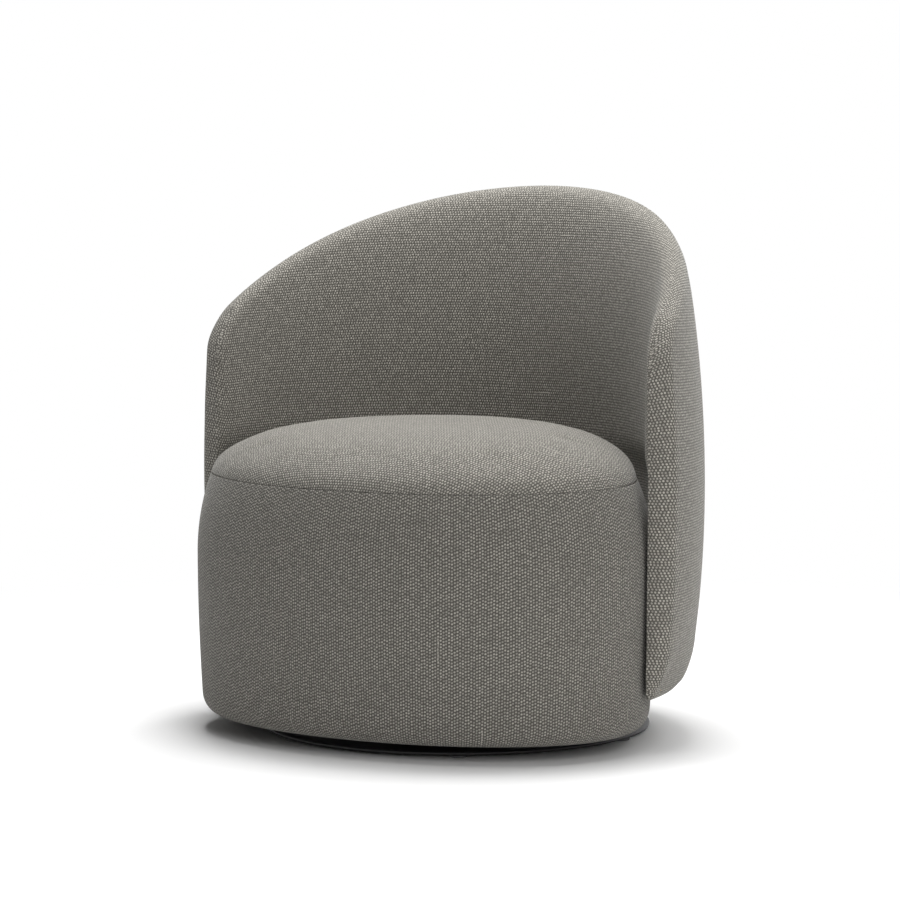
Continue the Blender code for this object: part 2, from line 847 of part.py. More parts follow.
def webbing_reach(across, lengthwise):
    """Where a strap ends on the top ring, to both sides, over its whole width."""
    x, y = seat_outline(ring_inset + ring_width - web_ring_overlap, plan_steps)
    side, run = (x, y) if lengthwise else (y, x)
    near = np.abs(side - across) <= web_width / 2
    middle = (run.min() + run.max()) / 2
    return run[near & (run < middle)].max(), run[near & (run > middle)].min()


def build_webbing(materials, axis):
    """Elastic straps that pass over and under each other across the top ring."""
    side_pitch = 2 * seat_half_width * web_width_share
    depth_pitch = seat_depth * web_depth_share
    for lengthwise in (True, False):
        pitch, crossing_pitch = (side_pitch, depth_pitch) if lengthwise else (depth_pitch, side_pitch)
        centre, crossing_centre = (0, web_centre_y) if lengthwise else (web_centre_y, 0)
        first = crossing_centre - (web_count - 1) / 2 * crossing_pitch
        for k in range(web_count):
            middle = centre + (k - (web_count - 1) / 2) * pitch
            start, stop = webbing_reach(middle, lengthwise)
            sign = (1 if lengthwise else -1) * (-1) ** k
            run, wave = strap_wave(start, stop, first, crossing_pitch, sign)
            name = f"webbing_{'lengthwise' if lengthwise else 'crosswise'}_{k + 1}"
            build_strap(name, middle, run, wave, lengthwise, materials["webbing"], axis)


def build_strap(name, middle, run, wave, lengthwise, material, axis):
    """One flat strap along a run of points."""
    lift = web_bottom + web_thickness + fit_gap
    corners = ((-1, -1), (1, -1), (1, 1), (-1, 1))
    grid = []
    for at, offset in zip(run, wave):
        ring = []
        for side, up in corners:
            across = middle + side * web_width / 2
            height = lift + offset + up * web_thickness / 2
            ring.append((across, at, height) if lengthwise else (at, across, height))
        grid.append(ring)
    add_object(name, grid_mesh(grid, close_columns=True, cap_rows=True), material, axis)


def build_cambric(materials, axis):
    """Black dust cloth under the board, cut out round the square bearing."""
    outer = flange_reach + fabric_thickness
    high = board_bottom - fit_gap
    low = high - cambric_thickness
    edge = seat_ring(outer, high, False)
    turn = np.arctan2(edge[:, 1], edge[:, 0])
    reach = np.array([square_reach(a) + cambric_clearance for a in turn])
    hole = [np.stack([reach * np.cos(turn), reach * np.sin(turn), np.full_like(turn, z)], axis=-1)
            for z in (high, low)]
    rows = [seat_ring(outer, low, False), edge, hole[0], hole[1]]
    add_object("dust_cloth", grid_mesh(rows, close_rows=True, close_columns=True),
               materials["cambric"], axis)


# Seat upholstery

def build_seat_upholstery(materials, axis):
    """Foam and fabric of the seat. The side band and the top panel meet in the seam."""
    side = side_profile()
    top = top_profile()
    build_side_cover(side, materials, axis)
    build_side_foam(side, materials, axis)
    build_top_cover(top, materials, axis)
    build_seat_foam(side, top, materials, axis)


def pinched(points, at_start):
    """Draw a profile's end in by the seam's pinch."""
    ends = list(points)
    k = 0 if at_start else len(ends) - 1
    ends[k] = (ends[k][0] + seam_pinch, ends[k][1])
    return ends


def build_side_cover(side, materials, axis):
    """The fabric band: a flange under the board, the round corner and the side up to the seam."""
    outside = [(flange_reach, seat_bottom)] + pinched(side, False)
    outside[-1] = (outside[-1][0], seat_seam_height - fit_gap / 2)
    inside = offset_profile(outside, fabric_thickness)
    rows = [seat_ring(inset, height) for inset, height in outside + inside[::-1]]
    bm = grid_mesh(rows, close_rows=True, close_columns=True,
                   flip_rows=range(len(outside), 2 * len(outside)))
    add_object("seat_side_cover", bm, materials["fabric"], axis)


def build_side_foam(side, materials, axis):
    """Foam sheet between the side panel and the fabric band."""
    band = offset_profile(pinched(side, False), cover_inner)
    inner = side_panel_inset - soft_gap
    foam_top = seat_foam_bottom - soft_gap
    outside = [(inset_at(band, panel_bottom), panel_bottom)]
    outside += [point for point in band if panel_bottom < point[1] < foam_top]
    outside.append((inset_at(band, foam_top), foam_top))
    rows = [seat_ring(inset, height) for inset, height in outside]
    rows += [seat_ring(inner, foam_top), seat_ring(inner, panel_bottom)]
    add_object("seat_side_foam", grid_mesh(rows, close_rows=True, close_columns=True),
               materials["foam"], axis)


def build_top_cover(top, materials, axis):
    """The fabric top panel: a crowned dish with soft edges, one sheet thick."""
    outside = pinched(top, True)
    outside[0] = (outside[0][0], seat_seam_height + fit_gap / 2)
    inside = offset_profile(outside, fabric_thickness)
    inside[0] = (inside[0][0], outside[0][1])
    rows = [seat_ring(inset, height) for inset, height in inside[::-1] + outside]
    bm = grid_mesh(rows, close_columns=True, cap_rows=True, flip_rows=range(len(inside) - 1))
    add_object("seat_top_cover", bm, materials["fabric"], axis)


def build_seat_foam(side, top, materials, axis):
    """The seat foam: crowned, with drawn-in edges, from the webbing up to the fabric."""
    under = offset_profile(pinched(top, True), cover_inner)
    band = offset_profile(pinched(side, False), cover_inner)
    rows = [seat_ring(inset_at(band, seat_foam_bottom), seat_foam_bottom)]
    rows.append(seat_ring(band[-1][0] + soft_gap, seat_seam_height - fabric_thickness))
    rows += [seat_ring(inset, height) for inset, height in under[1:]]
    add_object("seat_foam", grid_mesh(rows, close_columns=True, cap_rows=True),
               materials["foam"], axis)


# Back

def build_back(materials, axis):
    """The moulded shell, its foam and its fabric, and the bolts to the seat's posts."""
    cutters = build_joint_cutters(materials)
    shell = build_back_shell("back_shell", 0, materials["plywood"], axis)
    foam = build_back_foam(materials, axis)
    cover = build_back_cover(materials, axis)
    build_joint_hardware(materials, axis)
    cut_with(shell, cutters["bolt"])
    cut_with(foam, cutters["spacer"])
    cut_with(cover, cutters["spacer"])
    for name in ("seat_side_cover", "seat_side_foam"):
        cut_with(bpy.data.objects[name], cutters["spacer"])
    cut_with(bpy.data.objects["seat_side_panel"], cutters["bolt"])
    for k in range(len(list(joint_sides()))):
        post = bpy.data.objects[f"seat_post_{k + 1}"]
        post.data = post.data.copy()
        cut_with(post, cutters["bolt"])


def shell_faces(share, height):
    """Offsets of the shell's inner and outer face from the outer plan."""
    middle = back_offsets(share, height)[0] + shell_offset
    return middle - shell_thickness / 2, middle + shell_thickness / 2


def build_back_shell(name, clearance, material, axis):
    """The bent shell, or with a clearance the pocket that it fills, which opens downwards."""
    length = back_plan(np.zeros(1))[2]
    last = 1 - (shell_front_margin - clearance) / length
    shares = np.linspace(0, last, shell_columns)
    sections = []
    for share in shares:
        low = back_bottom_height(share) + shell_bottom_margin
        if clearance > 0:
            low = back_bottom_height(share) - cut_overrun
        high = back_top_height(share) - shell_edge_margin + clearance
        height = np.linspace(low, high, shell_levels)
        inner, outer = shell_faces(np.full(shell_levels, share), height)
        offsets = np.concatenate([inner - clearance, (outer + clearance)[::-1]])
        heights = np.concatenate([height, height[::-1]])
        points, outward, _ = back_plan(np.array([share]))
        sections.append(np.stack([points[0, 0] + outward[0, 0] * offsets,
                                  points[0, 1] + outward[0, 1] * offsets, heights], axis=-1))
    half = np.array(sections)
    grid = np.concatenate([half[:0:-1] * (-1, 1, 1), half])
    return add_object(name, grid_mesh(grid, close_columns=True, cap_rows=True), material, axis)


def build_back_foam(materials, axis):
    """Moulded foam that slips over the shell, with the crowned form of the back."""
    bm = grid_mesh(back_surface(cover_inner), close_columns=True,
                   flip_rows=range(back_columns, 2 * back_columns))
    bmesh.ops.remove_doubles(bm, verts=bm.verts, dist=weld_distance)
    foam = add_object("back_foam", bm, materials["foam"], axis)
    pocket = build_back_shell("back_pocket", shell_clearance, materials["cutter"], None)
    cut_with(foam, hide_cutter(pocket))
    return foam


def build_back_cover(materials, axis):
    """The back's fabric: one sheet round the whole section, open along its underside."""
    outside = back_surface(0)[:, 1:]
    inside = back_surface(fabric_thickness)[:, 1:]
    grid = np.concatenate([outside, inside[:, ::-1]], axis=1)
    width = outside.shape[1]
    bm = grid_mesh(grid, close_columns=True, flip_rows=range(back_columns, 2 * back_columns),
                   flip_columns=range(width, 2 * width))
    bmesh.ops.remove_doubles(bm, verts=bm.verts, dist=weld_distance)
    return add_object("back_cover", bm, materials["fabric"], axis)


def joint_line(angle):
    """A bolted place: the start on the post, the direction, and how far the shell is."""
    point, outward = post_frame(angle)
    point = Vector((point.x, point.y, joint_height))
    shares = np.linspace(0, 1, plan_steps)
    points, normals, _ = back_plan(shares)
    inner, _ = shell_faces(shares, np.full(len(shares), joint_height))
    side = 1 if point.x >= 0 else -1
    line = np.stack([side * (points[:, 0] + normals[:, 0] * inner),
                     points[:, 1] + normals[:, 1] * inner], axis=-1)
    away = line - np.array([point.x, point.y])
    along = away @ np.array([outward.x, outward.y])
    aside = np.abs(away @ np.array([-outward.y, outward.x]))
    reach = float(along[np.argmin(np.where(along > 0, aside, np.inf))])
    return point, outward, reach


def along_line(point, outward):
    """The matrix that lays +Z along a bolted place's direction."""
    return Matrix.Translation(point) @ outward.to_track_quat("Z", "Y").to_matrix().to_4x4()


def build_joint_cutters(materials):
    """One cutter for the spacers' holes in soft pieces, one for the bolts' in hard ones."""
    groups = {"spacer": [], "bolt": []}
    for angle in joint_sides():
        point, outward, reach = joint_line(angle)
        spacer = cylinder_mesh(spacer_radius + hole_clearance, 0, reach + shell_thickness / 2)
        bolt = cylinder_mesh(bolt_radius + hole_clearance, -post_depth - 2 * cut_overrun,
                             reach + shell_thickness + cut_overrun)
        groups["spacer"].append((spacer, along_line(point, outward)))
        groups["bolt"].append((bolt, along_line(point, outward)))
    cutters = {}
    for name, pieces in groups.items():
        cutter = add_object(name + "_holes", join_meshes(pieces), materials["cutter"], None)
        cutters[name] = hide_cutter(cutter)
    return cutters


def build_joint_hardware(materials, axis):
    """A steel spacer and a bolt at each place where the back hangs on the seat frame."""
    for k, angle in enumerate(joint_sides()):
        point, outward, reach = joint_line(angle)
        low = side_panel_thickness + 2 * fit_gap
        high = reach + shell_thickness * spacer_tip_share
        profile = [(spacer_bore_radius, low), (spacer_radius, low), (spacer_radius, high),
                   (spacer_bore_radius, high)]
        spacer = turned_mesh(profile, round_segments)
        bmesh.ops.transform(spacer, matrix=along_line(point, outward), verts=spacer.verts)
        sleeve = add_object(f"back_spacer_{k + 1}", spacer, materials["zinc"], axis)
        cut_with(sleeve, bpy.data.objects["back_pocket"])
        head = -post_depth - post_setback - fit_gap
        tip = reach + shell_thickness * bolt_tip_share
        profile = [(bolt_head_radius, head - back_bolt_head_height), (bolt_head_radius, head),
                   (bolt_radius, head), (bolt_radius, tip)]
        bolt = turned_mesh(profile, round_segments, closed=False)
        bmesh.ops.transform(bolt, matrix=along_line(point, outward), verts=bolt.verts)
        add_object(f"back_bolt_{k + 1}", bolt, materials["steel"], axis)


def make_materials():
    """Every material of the chair, with linear colours."""
    return {
        "fabric": make_material("fabric", (0.155, 0.145, 0.118), 0.95),
        "foam": make_material("foam", (0.70, 0.66, 0.48), 0.95),
        "black": make_material("black_steel", (0.010, 0.010, 0.011), 0.45, 1),
        "zinc": make_material("zinc_plate", (0.50, 0.50, 0.52), 0.38, 1),
        "steel": make_material("bright_steel", (0.60, 0.60, 0.61), 0.25, 1),
        "nylon": make_material("nylon", (0.020, 0.020, 0.020), 0.55),
        "plywood": make_material("plywood", (0.45, 0.30, 0.16), 0.6),
        "beech": make_material("beech", (0.50, 0.33, 0.19), 0.6),
        "hardboard": make_material("hardboard", (0.16, 0.10, 0.055), 0.7),
        "webbing": make_material("webbing", (0.045, 0.043, 0.040), 0.85),
        "cambric": make_material("cambric", (0.012, 0.012, 0.012), 0.95),
        "cutter": make_material("cutter", (1, 0, 0), 1),
    }


def build_chair():
    """Model the chair: the base, the ball cage and the seat with its back."""
    clear_scene()
    materials = make_materials()
    cage_axis = make_empty("cage_axis", (0, 0, 0))
    seat_axis = make_empty("seat_axis", (0, 0, 0))
    build_base(materials)
    build_cage(materials, cage_axis)
    build_seat_frame(materials, seat_axis)
    build_seat_upholstery(materials, seat_axis)
    build_back(materials, seat_axis)


build_chair()
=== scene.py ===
# %% [markdown]
# # A swivel lounge chair in a white studio
#
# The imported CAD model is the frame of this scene. Every node already stands in its place, in
# metres, with Z up and the sitter facing -Y. This notebook gives the soft pieces their full
# forms and their weave, gives each hard piece a finish of its own, and puts soft studio light
# and a white floor round the chair.

# %% Load the frame
import json

import bmesh
import bpy
import numpy as np
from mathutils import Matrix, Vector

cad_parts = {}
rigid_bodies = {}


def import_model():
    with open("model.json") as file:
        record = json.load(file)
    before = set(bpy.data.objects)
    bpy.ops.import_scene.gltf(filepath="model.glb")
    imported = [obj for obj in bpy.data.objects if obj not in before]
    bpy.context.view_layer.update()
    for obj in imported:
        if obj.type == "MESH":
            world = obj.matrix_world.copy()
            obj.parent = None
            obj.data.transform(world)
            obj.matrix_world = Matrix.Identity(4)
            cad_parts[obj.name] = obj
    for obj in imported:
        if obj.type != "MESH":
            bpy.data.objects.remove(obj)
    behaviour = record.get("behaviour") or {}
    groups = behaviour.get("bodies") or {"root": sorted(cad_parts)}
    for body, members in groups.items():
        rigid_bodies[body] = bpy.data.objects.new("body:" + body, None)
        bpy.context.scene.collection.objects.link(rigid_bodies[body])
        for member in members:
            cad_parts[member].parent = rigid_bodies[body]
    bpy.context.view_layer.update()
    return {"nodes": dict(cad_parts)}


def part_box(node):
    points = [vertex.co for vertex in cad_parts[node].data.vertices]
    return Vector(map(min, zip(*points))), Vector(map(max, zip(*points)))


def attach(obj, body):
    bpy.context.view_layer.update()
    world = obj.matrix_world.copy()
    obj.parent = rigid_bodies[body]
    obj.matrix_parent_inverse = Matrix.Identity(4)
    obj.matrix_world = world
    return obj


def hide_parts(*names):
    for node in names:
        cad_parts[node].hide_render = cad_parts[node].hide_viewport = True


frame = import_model()
nodes = frame["nodes"]
scene = bpy.context.scene
scene.view_settings.view_transform = "Standard"

# %% [markdown]
# ## The camera
#
# A product photograph is taken with a long lens from far off, so that the form isn't bent by
# perspective. The camera stands to the chair's front and its right-hand side of the picture, a
# little above the back's top edge, and looks slightly down. It is placed by an angle round the
# chair, a distance over the floor and a height, because those are easy to measure again.

# %% Camera
camera_turn = np.radians(29.4055)
camera_distance = 4.9061
camera_height = 0.8314
camera_pitch = np.radians(5.1142)
camera_yaw = np.radians(0.1102)
camera_lens = 139.22

lens = bpy.data.cameras.new("studio_camera")
lens.lens = camera_lens
lens.sensor_width = 36.0
camera = bpy.data.objects.new("studio_camera", lens)
camera.location = (camera_distance * np.sin(camera_turn),
                   -camera_distance * np.cos(camera_turn), camera_height)
camera.rotation_euler = (np.pi / 2 - camera_pitch, 0, camera_turn + camera_yaw)
scene.collection.objects.link(camera)
scene.camera = camera
print("camera at", np.round(camera.location, 3).tolist())

# %% [markdown]
# ## Sizes of the soft forms
#
# The upholstery repeats the named sizes of the CAD source, so that the full forms lie where
# the plain solids do. The chair is measured from its widest lines: the seat's and the back's
# outlines are both superellipses, which are fuller than an ellipse and need only a width, a
# reach to the front, a reach to the rear and a power.

# %% Sizes
chair_depth = 0.658
chair_height = 0.763
back_half_width = 0.380
wing_root_thickness = 0.0385
back_root_depth = 0.137
seat_gap = 0.003

seat_half_width = back_half_width - wing_root_thickness - seat_gap
seat_widest_y = -0.1482 * chair_depth
seat_front_reach = chair_depth / 2 + seat_widest_y
seat_rear_reach = chair_depth - back_root_depth - seat_gap - seat_front_reach
seat_front_y = seat_widest_y - seat_front_reach
seat_bottom = 0.023
seat_seam = 0.360
seat_bulge = 0.250
print(f"seat {2 * seat_half_width:.3f} m wide, {seat_front_reach + seat_rear_reach:.3f} m deep")


# %% [markdown]
# ## From grids of points to a mesh
#
# Every soft form below is a function of two parameters, worked out for a whole grid at once
# with numpy. A piece is a list of such patches. Each patch brings its points and, for the
# weave, its place on the flat cloth in metres. The patches of a piece share their border
# points exactly, so merging doubles closes the piece, and the cloth's places stay apart there
# because a UV map belongs to the corners of faces, not to points.

# %% Mesh helpers
def joined(*parts):
    """Arrays of single coordinates, or of numbers like them, joined into points."""
    return np.stack(np.broadcast_arrays(*parts), axis=-1)


def places_of(mesh):
    """The places of a mesh's points."""
    place = np.empty(len(mesh.vertices) * 3, np.float32)
    mesh.vertices.foreach_get("co", place)
    return place.reshape(-1, 3)


def quads(rows, columns):
    """Corner numbers of the faces of a rows x columns grid of points."""
    corner = np.arange(rows * columns).reshape(rows, columns)
    return joined(corner[:-1, :-1], corner[:-1, 1:], corner[1:, 1:],
                  corner[1:, :-1]).reshape(-1, 4)


def make_piece(name, patches, body="seat"):
    """Join patches of (points, cloth) grids into one closed mesh object that rides on a body."""
    points, faces, cloth = [], [], []
    count = 0
    for grid, places in patches:
        corner = quads(*grid.shape[:2])
        cloth.append(places.reshape(-1, 2)[corner.ravel()])
        faces.append(corner + count)
        points.append(grid.reshape(-1, 3))
        count += grid.shape[0] * grid.shape[1]
    mesh = bpy.data.meshes.new(name)
    mesh.from_pydata(np.concatenate(points), [], np.concatenate(faces).tolist())
    weave_map = mesh.uv_layers.new(name="cloth")
    weave_map.data.foreach_set("uv", np.concatenate(cloth).ravel())
    shaped = bmesh.new()
    shaped.from_mesh(mesh)
    bmesh.ops.remove_doubles(shaped, verts=shaped.verts, dist=1e-5)
    bmesh.ops.dissolve_degenerate(shaped, edges=shaped.edges, dist=1e-6)
    bmesh.ops.recalc_face_normals(shaped, faces=shaped.faces)
    shaped.to_mesh(mesh)
    shaped.free()
    mesh.shade_smooth()
    piece = bpy.data.objects.new(name, mesh)
    scene.collection.objects.link(piece)
    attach(piece, body)
    print(f"{name}: {len(mesh.vertices)} points, {len(mesh.polygons)} faces")
    return piece


def arc_length(points, axis=0):
    """Length along a row of points from its start: the running sum of the steps."""
    steps = np.linalg.norm(np.diff(points, axis=axis), axis=-1)
    start = np.zeros_like(np.take(steps, [0], axis=axis))
    return np.concatenate([start, np.cumsum(steps, axis=axis)], axis=axis)


def signed_power(value, power):
    """The sign of a value times its size raised to a power."""
    return np.sign(value) * np.abs(value) ** power


def share_of(value, low, high):
    """How far a value has come from low to high, kept within 0 and 1."""
    return np.clip((value - low) / (high - low), 0, 1)


def smooth(share):
    """A smooth step: 3 s^2 - 2 s^3."""
    return share ** 2 * (3 - 2 * share)


def quarter_fall(share):
    """A quarter ellipse's fall: 0 and level at share 0, 1 and upright at share 1."""
    return 1 - np.sqrt(1 - share ** 2)


def bisect(is_low, low, high, rounds):
    """Halve all ranges low..high at once, and keep the upper half where is_low(middle) holds."""
    for _ in range(rounds):
        middle = (low + high) / 2
        below = is_low(middle)
        low, high = np.where(below, middle, low), np.where(below, high, middle)
    return low


# %% [markdown]
# ## The seat's outline and profiles
#
# Seen from above, the seat is two half superellipses that meet at the widest line: the front
# one is squarer and the rear one rounder, because the back wraps round it. Seen from the side,
# the band bulges a little and turns under at the bottom, and the top panel rises from the seam
# over one wide soft edge to a low crown. The foam is fuller towards the rear, so heights above
# the middle of the band also rise a little from front to rear.

# %% Seat outline
front_power = 2.09
rear_power = 1.85
rise_slope = 0.0370
side_fall = 0.30
rear_draw = 0.030
rear_blend = 0.14
rise_heights = (0.194, 0.394)


def half_outline(in_front):
    """The power and the reach of the outline's front or rear half."""
    return (np.where(in_front, front_power, rear_power),
            np.where(in_front, seat_front_reach, seat_rear_reach))


def seat_plan(turn, inset):
    """x = (w - i) cos^(2/p), y = (r - i) sin^(2/p), where i is the inset from the outline."""
    power, reach = half_outline(np.sin(turn) < 0)
    x = (seat_half_width - inset) * signed_power(np.cos(turn), 2 / power)
    y = (reach - inset) * signed_power(np.sin(turn), 2 / power) + seat_widest_y
    return x, y


def rear_share(y):
    """0 up to the widest line and 1 from some way behind it."""
    return smooth(share_of(y, seat_widest_y, seat_widest_y + rear_blend))


def lifted(x, y, height):
    """Points raised towards the rear, less at the sides, and drawn in there above the bulge."""
    share = share_of(height, *rise_heights)
    side = (x / seat_half_width) ** 2
    z = height + rise_slope * share * (y - seat_front_y) * (1 - side_fall * side)
    x = x * (1 - rear_draw * share_of(height, seat_bulge, seat_seam) ** 2 * rear_share(y))
    return joined(x, y, z)


def inset_of(x, y):
    """The inset of the outline that runs through each point, by bisection."""
    power, reach = half_outline(y < seat_widest_y)

    def is_low(inset):
        level = (np.abs(x) / (seat_half_width - inset)) ** power
        return level + (np.abs(y - seat_widest_y) / (reach - inset)) ** power < 1

    return bisect(is_low, np.zeros_like(x), np.full_like(x, seat_front_reach - 1e-4), 30)


# %% Seat profiles
seam_tuck = 0.0198
bottom_tuck = 0.0058
corner_width = 0.024
corner_height = 0.030
corner_top = seat_bottom + corner_height
seam_roll = 0.0014
seam_depth = 0.0012
band_top = seat_seam - 0.0002
top_width = 0.82 * seat_front_reach
top_height = 0.063
top_power = 2.1
rear_fullness = 0.35


def side_inset(height):
    """The band's inset at a height: parabolas below and above the bulge, rolled in at the seam."""
    inset = bottom_tuck * share_of(height, seat_bulge, corner_top) ** 2
    inset = inset + seam_tuck * share_of(height, seat_bulge, seat_seam) ** 2
    inset = inset + corner_width * quarter_fall(share_of(height, corner_top, seat_bottom))
    return inset + seam_depth * quarter_fall(share_of(height, band_top - seam_roll, band_top))


def top_rise(inset, power=top_power):
    """The top's height at an inset: a quarter superellipse from the seam up to the crown."""
    share = share_of(inset, seam_tuck, seam_tuck + top_width)
    return seat_seam + top_height * (1 - (1 - share) ** power) ** (1 / power)


print("top panel 50 mm in from the seam:", round(float(top_rise(np.array(seam_tuck + 0.05))), 4))

# %% [markdown]
# ## One division for band and top
#
# The top panel and the band meet in a sewn line, and the line only stays thin if both are cut
# into the same chords. The top comes from a square grid that is bent to a disc, because rings
# would crowd their points in the middle, and the band takes its columns from that disc's rim.

# %% Square grid bent to a disc
top_cells = 64


def square_to_disc(cells):
    """Way out and way round for a square grid: the larger coordinate is the way out."""
    s, t = np.meshgrid(np.linspace(-1, 1, cells + 1), np.linspace(-1, 1, cells + 1))
    wide = np.abs(s) >= np.abs(t)
    with np.errstate(divide="ignore", invalid="ignore"):
        across = np.where(s >= 0, 0, np.pi) + np.pi / 4 * np.nan_to_num(t / s)
        along = np.where(t >= 0, np.pi / 2, -np.pi / 2) - np.pi / 4 * np.nan_to_num(s / t)
    return np.maximum(np.abs(s), np.abs(t)), np.where(wide, across, along)


def border(grid):
    """The border points of a square grid in order, with the first one repeated at the end."""
    return np.concatenate([grid[0, :-1], grid[:-1, -1], grid[-1, :0:-1], grid[:0:-1, 0],
                           grid[:1, 0]])


out, disc_turn = square_to_disc(top_cells)
rim_turn = np.unwrap(border(disc_turn[..., None])[:, 0])
print(f"rim in {len(rim_turn) - 1} steps over {np.degrees(np.ptp(rim_turn)):.0f} degrees")

# %% [markdown]
# ## The seat's band
#
# The band is a padded ring: woven cloth over a foam sheet, drawn round a panel of bent board,
# turned under the seat board at the bottom and sewn to the top panel above. It is made by
# carrying one closed profile round the outline. The cloth's places are the way round the
# outline and the way up the profile, so the weave's columns stand upright, as on the real one.

# %% Band
board_inset = 0.0305
flange_inset = 0.052
panel_low = 0.0337
panel_inset = 0.0160
foam_top = 0.3217
flange_top = 0.0250
turned_inset = 0.040
band_depth = 0.0030


def band_profile():
    """The band's closed (inset, height) profile: up the outside, then down the inside."""
    turn = np.linspace(np.pi / 2, 0, 9)
    corner_inset = bottom_tuck + corner_width * (1 - np.cos(turn))
    corner_rise = seat_bottom + corner_height * (1 - np.sin(turn))
    side_height = np.linspace(corner_top, band_top - seam_roll, 42)[1:]
    roll_height = band_top + seam_roll * (np.sin(np.linspace(0, np.pi / 2, 5)[1:]) - 1)
    outer_height = np.concatenate([side_height, roll_height])
    lip = (seam_tuck + seam_depth + 0.0012, band_top - 0.0008)
    back_height = np.linspace(band_top - 0.004, foam_top, 4)
    panel_height = np.linspace(foam_top, panel_low, 10)
    return np.concatenate([
        [(flange_inset, seat_bottom), (turned_inset, seat_bottom)],
        joined(corner_inset, corner_rise),
        joined(side_inset(outer_height), outer_height),
        [lip],
        joined(side_inset(back_height) + band_depth, back_height),
        joined(panel_inset, panel_height),
        [(board_inset, flange_top), (flange_inset, flange_top), (flange_inset, seat_bottom)]])


profile = band_profile()
x, y = seat_plan(rim_turn[None, :], profile[:, :1])
band_points = lifted(x, y, profile[:, 1:])
around = arc_length(joined(*seat_plan(rim_turn, 0.0)))
up = arc_length(profile)
band_cloth = joined(around[None, :], up[:, None])
seat_band = make_piece("seat_band", [(band_points, band_cloth)])

# %% [markdown]
# ## The seat's top panel
#
# The top is a crowned pad, drawn in along its seam. Each grid point's height follows from its
# inset. The cloth is laid flat by moving each place outwards by as much as the slope is longer
# than its plan, and its columns run from side to side.

# %% Top panel
section_steps = 400
under_inset = 0.0290
under_height = 0.3233
rim_steps = [(seam_tuck + 0.0012, seat_seam + 0.0001),
             (seam_tuck + seam_depth, seat_seam + 0.0004),
             (seam_tuck + 0.0055, seat_seam - 0.0004), (under_inset, seat_seam - 0.012)]

spread = np.linspace(0, 1, section_steps)
section_inset = seam_tuck + seam_depth + (1 - spread) * (seat_front_reach - seam_tuck)
section_length = arc_length(joined(spread * seat_front_reach, top_rise(section_inset)))
scale = np.interp(out, section_length / section_length[-1], spread)
edge_x, edge_y = seat_plan(disc_turn, seam_tuck)
x = scale * edge_x
y = seat_widest_y + scale * (edge_y - seat_widest_y)
inset = np.maximum(inset_of(x, y), seam_tuck)
top_points = lifted(x, y, top_rise(inset, top_power + rear_fullness * rear_share(y)))
depth_in = np.linspace(seam_tuck, seat_front_reach, section_steps)
slope_length = arc_length(joined(depth_in, top_rise(depth_in)))
spare = (slope_length[-1] - slope_length) - (depth_in[-1] - depth_in)
extra = np.interp(inset, depth_in, spare)
way = joined(x, y - seat_widest_y)
way /= np.maximum(np.linalg.norm(way, axis=-1, keepdims=True), 1e-9)
top_cloth = joined(y + extra * way[..., 1], x + extra * way[..., 0])

ux, uy = seat_plan(disc_turn, under_inset)
under_points = joined(out * ux, seat_widest_y + out * (uy - seat_widest_y), under_height)
rim_cloth = border(top_cloth)
wall = [border(top_points)]
for rim_inset, rim_height in rim_steps:
    x, y = seat_plan(rim_turn, rim_inset)
    wall.append(lifted(x, y, np.full_like(x, rim_height)))
wall.append(border(under_points))
wall = np.array(wall)
rim_way = border(way)[:, ::-1]
wall_cloth = rim_cloth + arc_length(wall)[..., None] * rim_way
seat_top = make_piece("seat_top", [(top_points, top_cloth), (wall, wall_cloth),
                                   (under_points, top_cloth)])


# %% [markdown]
# ## The back
#
# The back is one moulded foam pad, covered in one piece of cloth. It wraps round the seat from
# wing to wing. Three things make it: a plan curve for its outside, a top edge that is level at
# the rear and sweeps down to the wings, and a section. The section's inner face follows the
# seat up to the lumbar height and flares out from there to the top edge in one long quarter
# ellipse; its outer face is fullest at the middle and leans in above and below. The other edges
# are quarter ellipses too, soft outside and tighter inside.

# %% Back
back_widest_y = -0.1277 * chair_depth
back_rear_radius = chair_depth / 2 - back_widest_y
wing_front_radius = 0.5456 * chair_depth
wing_reach = 0.008
plan_power = 1.97
plan_steps = 1200
back_bottom = 0.072
wing_corner_share = 0.030
wing_corner_height = 0.045
wing_top = 0.559
wing_top_corner_share = 0.085
wing_top_corner_height = 0.060
top_flat_share = 0.602
top_drop_handle = 0.006
ridge_depth_rear = 0.0447
ridge_depth_wing = 0.0340
lumbar_height = 0.394
back_fullest = 0.344
top_lean = 0.0452
bottom_lean = 0.0189
inner_lean_share = 0.249
outer_rounds = (0.064, 0.022)
top_allowance = 0.002
outer_top_rounds = (0.045, 0.018)
inner_rounds = (0.019, 0.045)
inner_top_roll = 0.008
inner_roll_height = 0.014
widest_roll = 0.7
search_depth = 0.165
wing_bulge = 0.010
bulge_heights = (0.372, 0.410)


def back_plan(share):
    """Points and outward directions of the plan superellipse at shares of its length."""
    end = np.arcsin((wing_reach / wing_front_radius) ** (plan_power / 2))
    turn = np.linspace(np.pi / 2, -end, plan_steps)
    reach = np.where(turn < 0, wing_front_radius, back_rear_radius)
    x = back_half_width * signed_power(np.cos(turn), 2 / plan_power)
    y = reach * signed_power(np.sin(turn), 2 / plan_power) + back_widest_y
    length = arc_length(joined(x, y))
    slope_x, slope_y = np.gradient(x, length), np.gradient(y, length)
    at = share * length[-1]
    points = joined(np.interp(at, length, x), np.interp(at, length, y))
    outward = joined(-np.interp(at, length, slope_y), np.interp(at, length, slope_x))
    return points, outward / np.linalg.norm(outward, axis=-1, keepdims=True), length[-1]


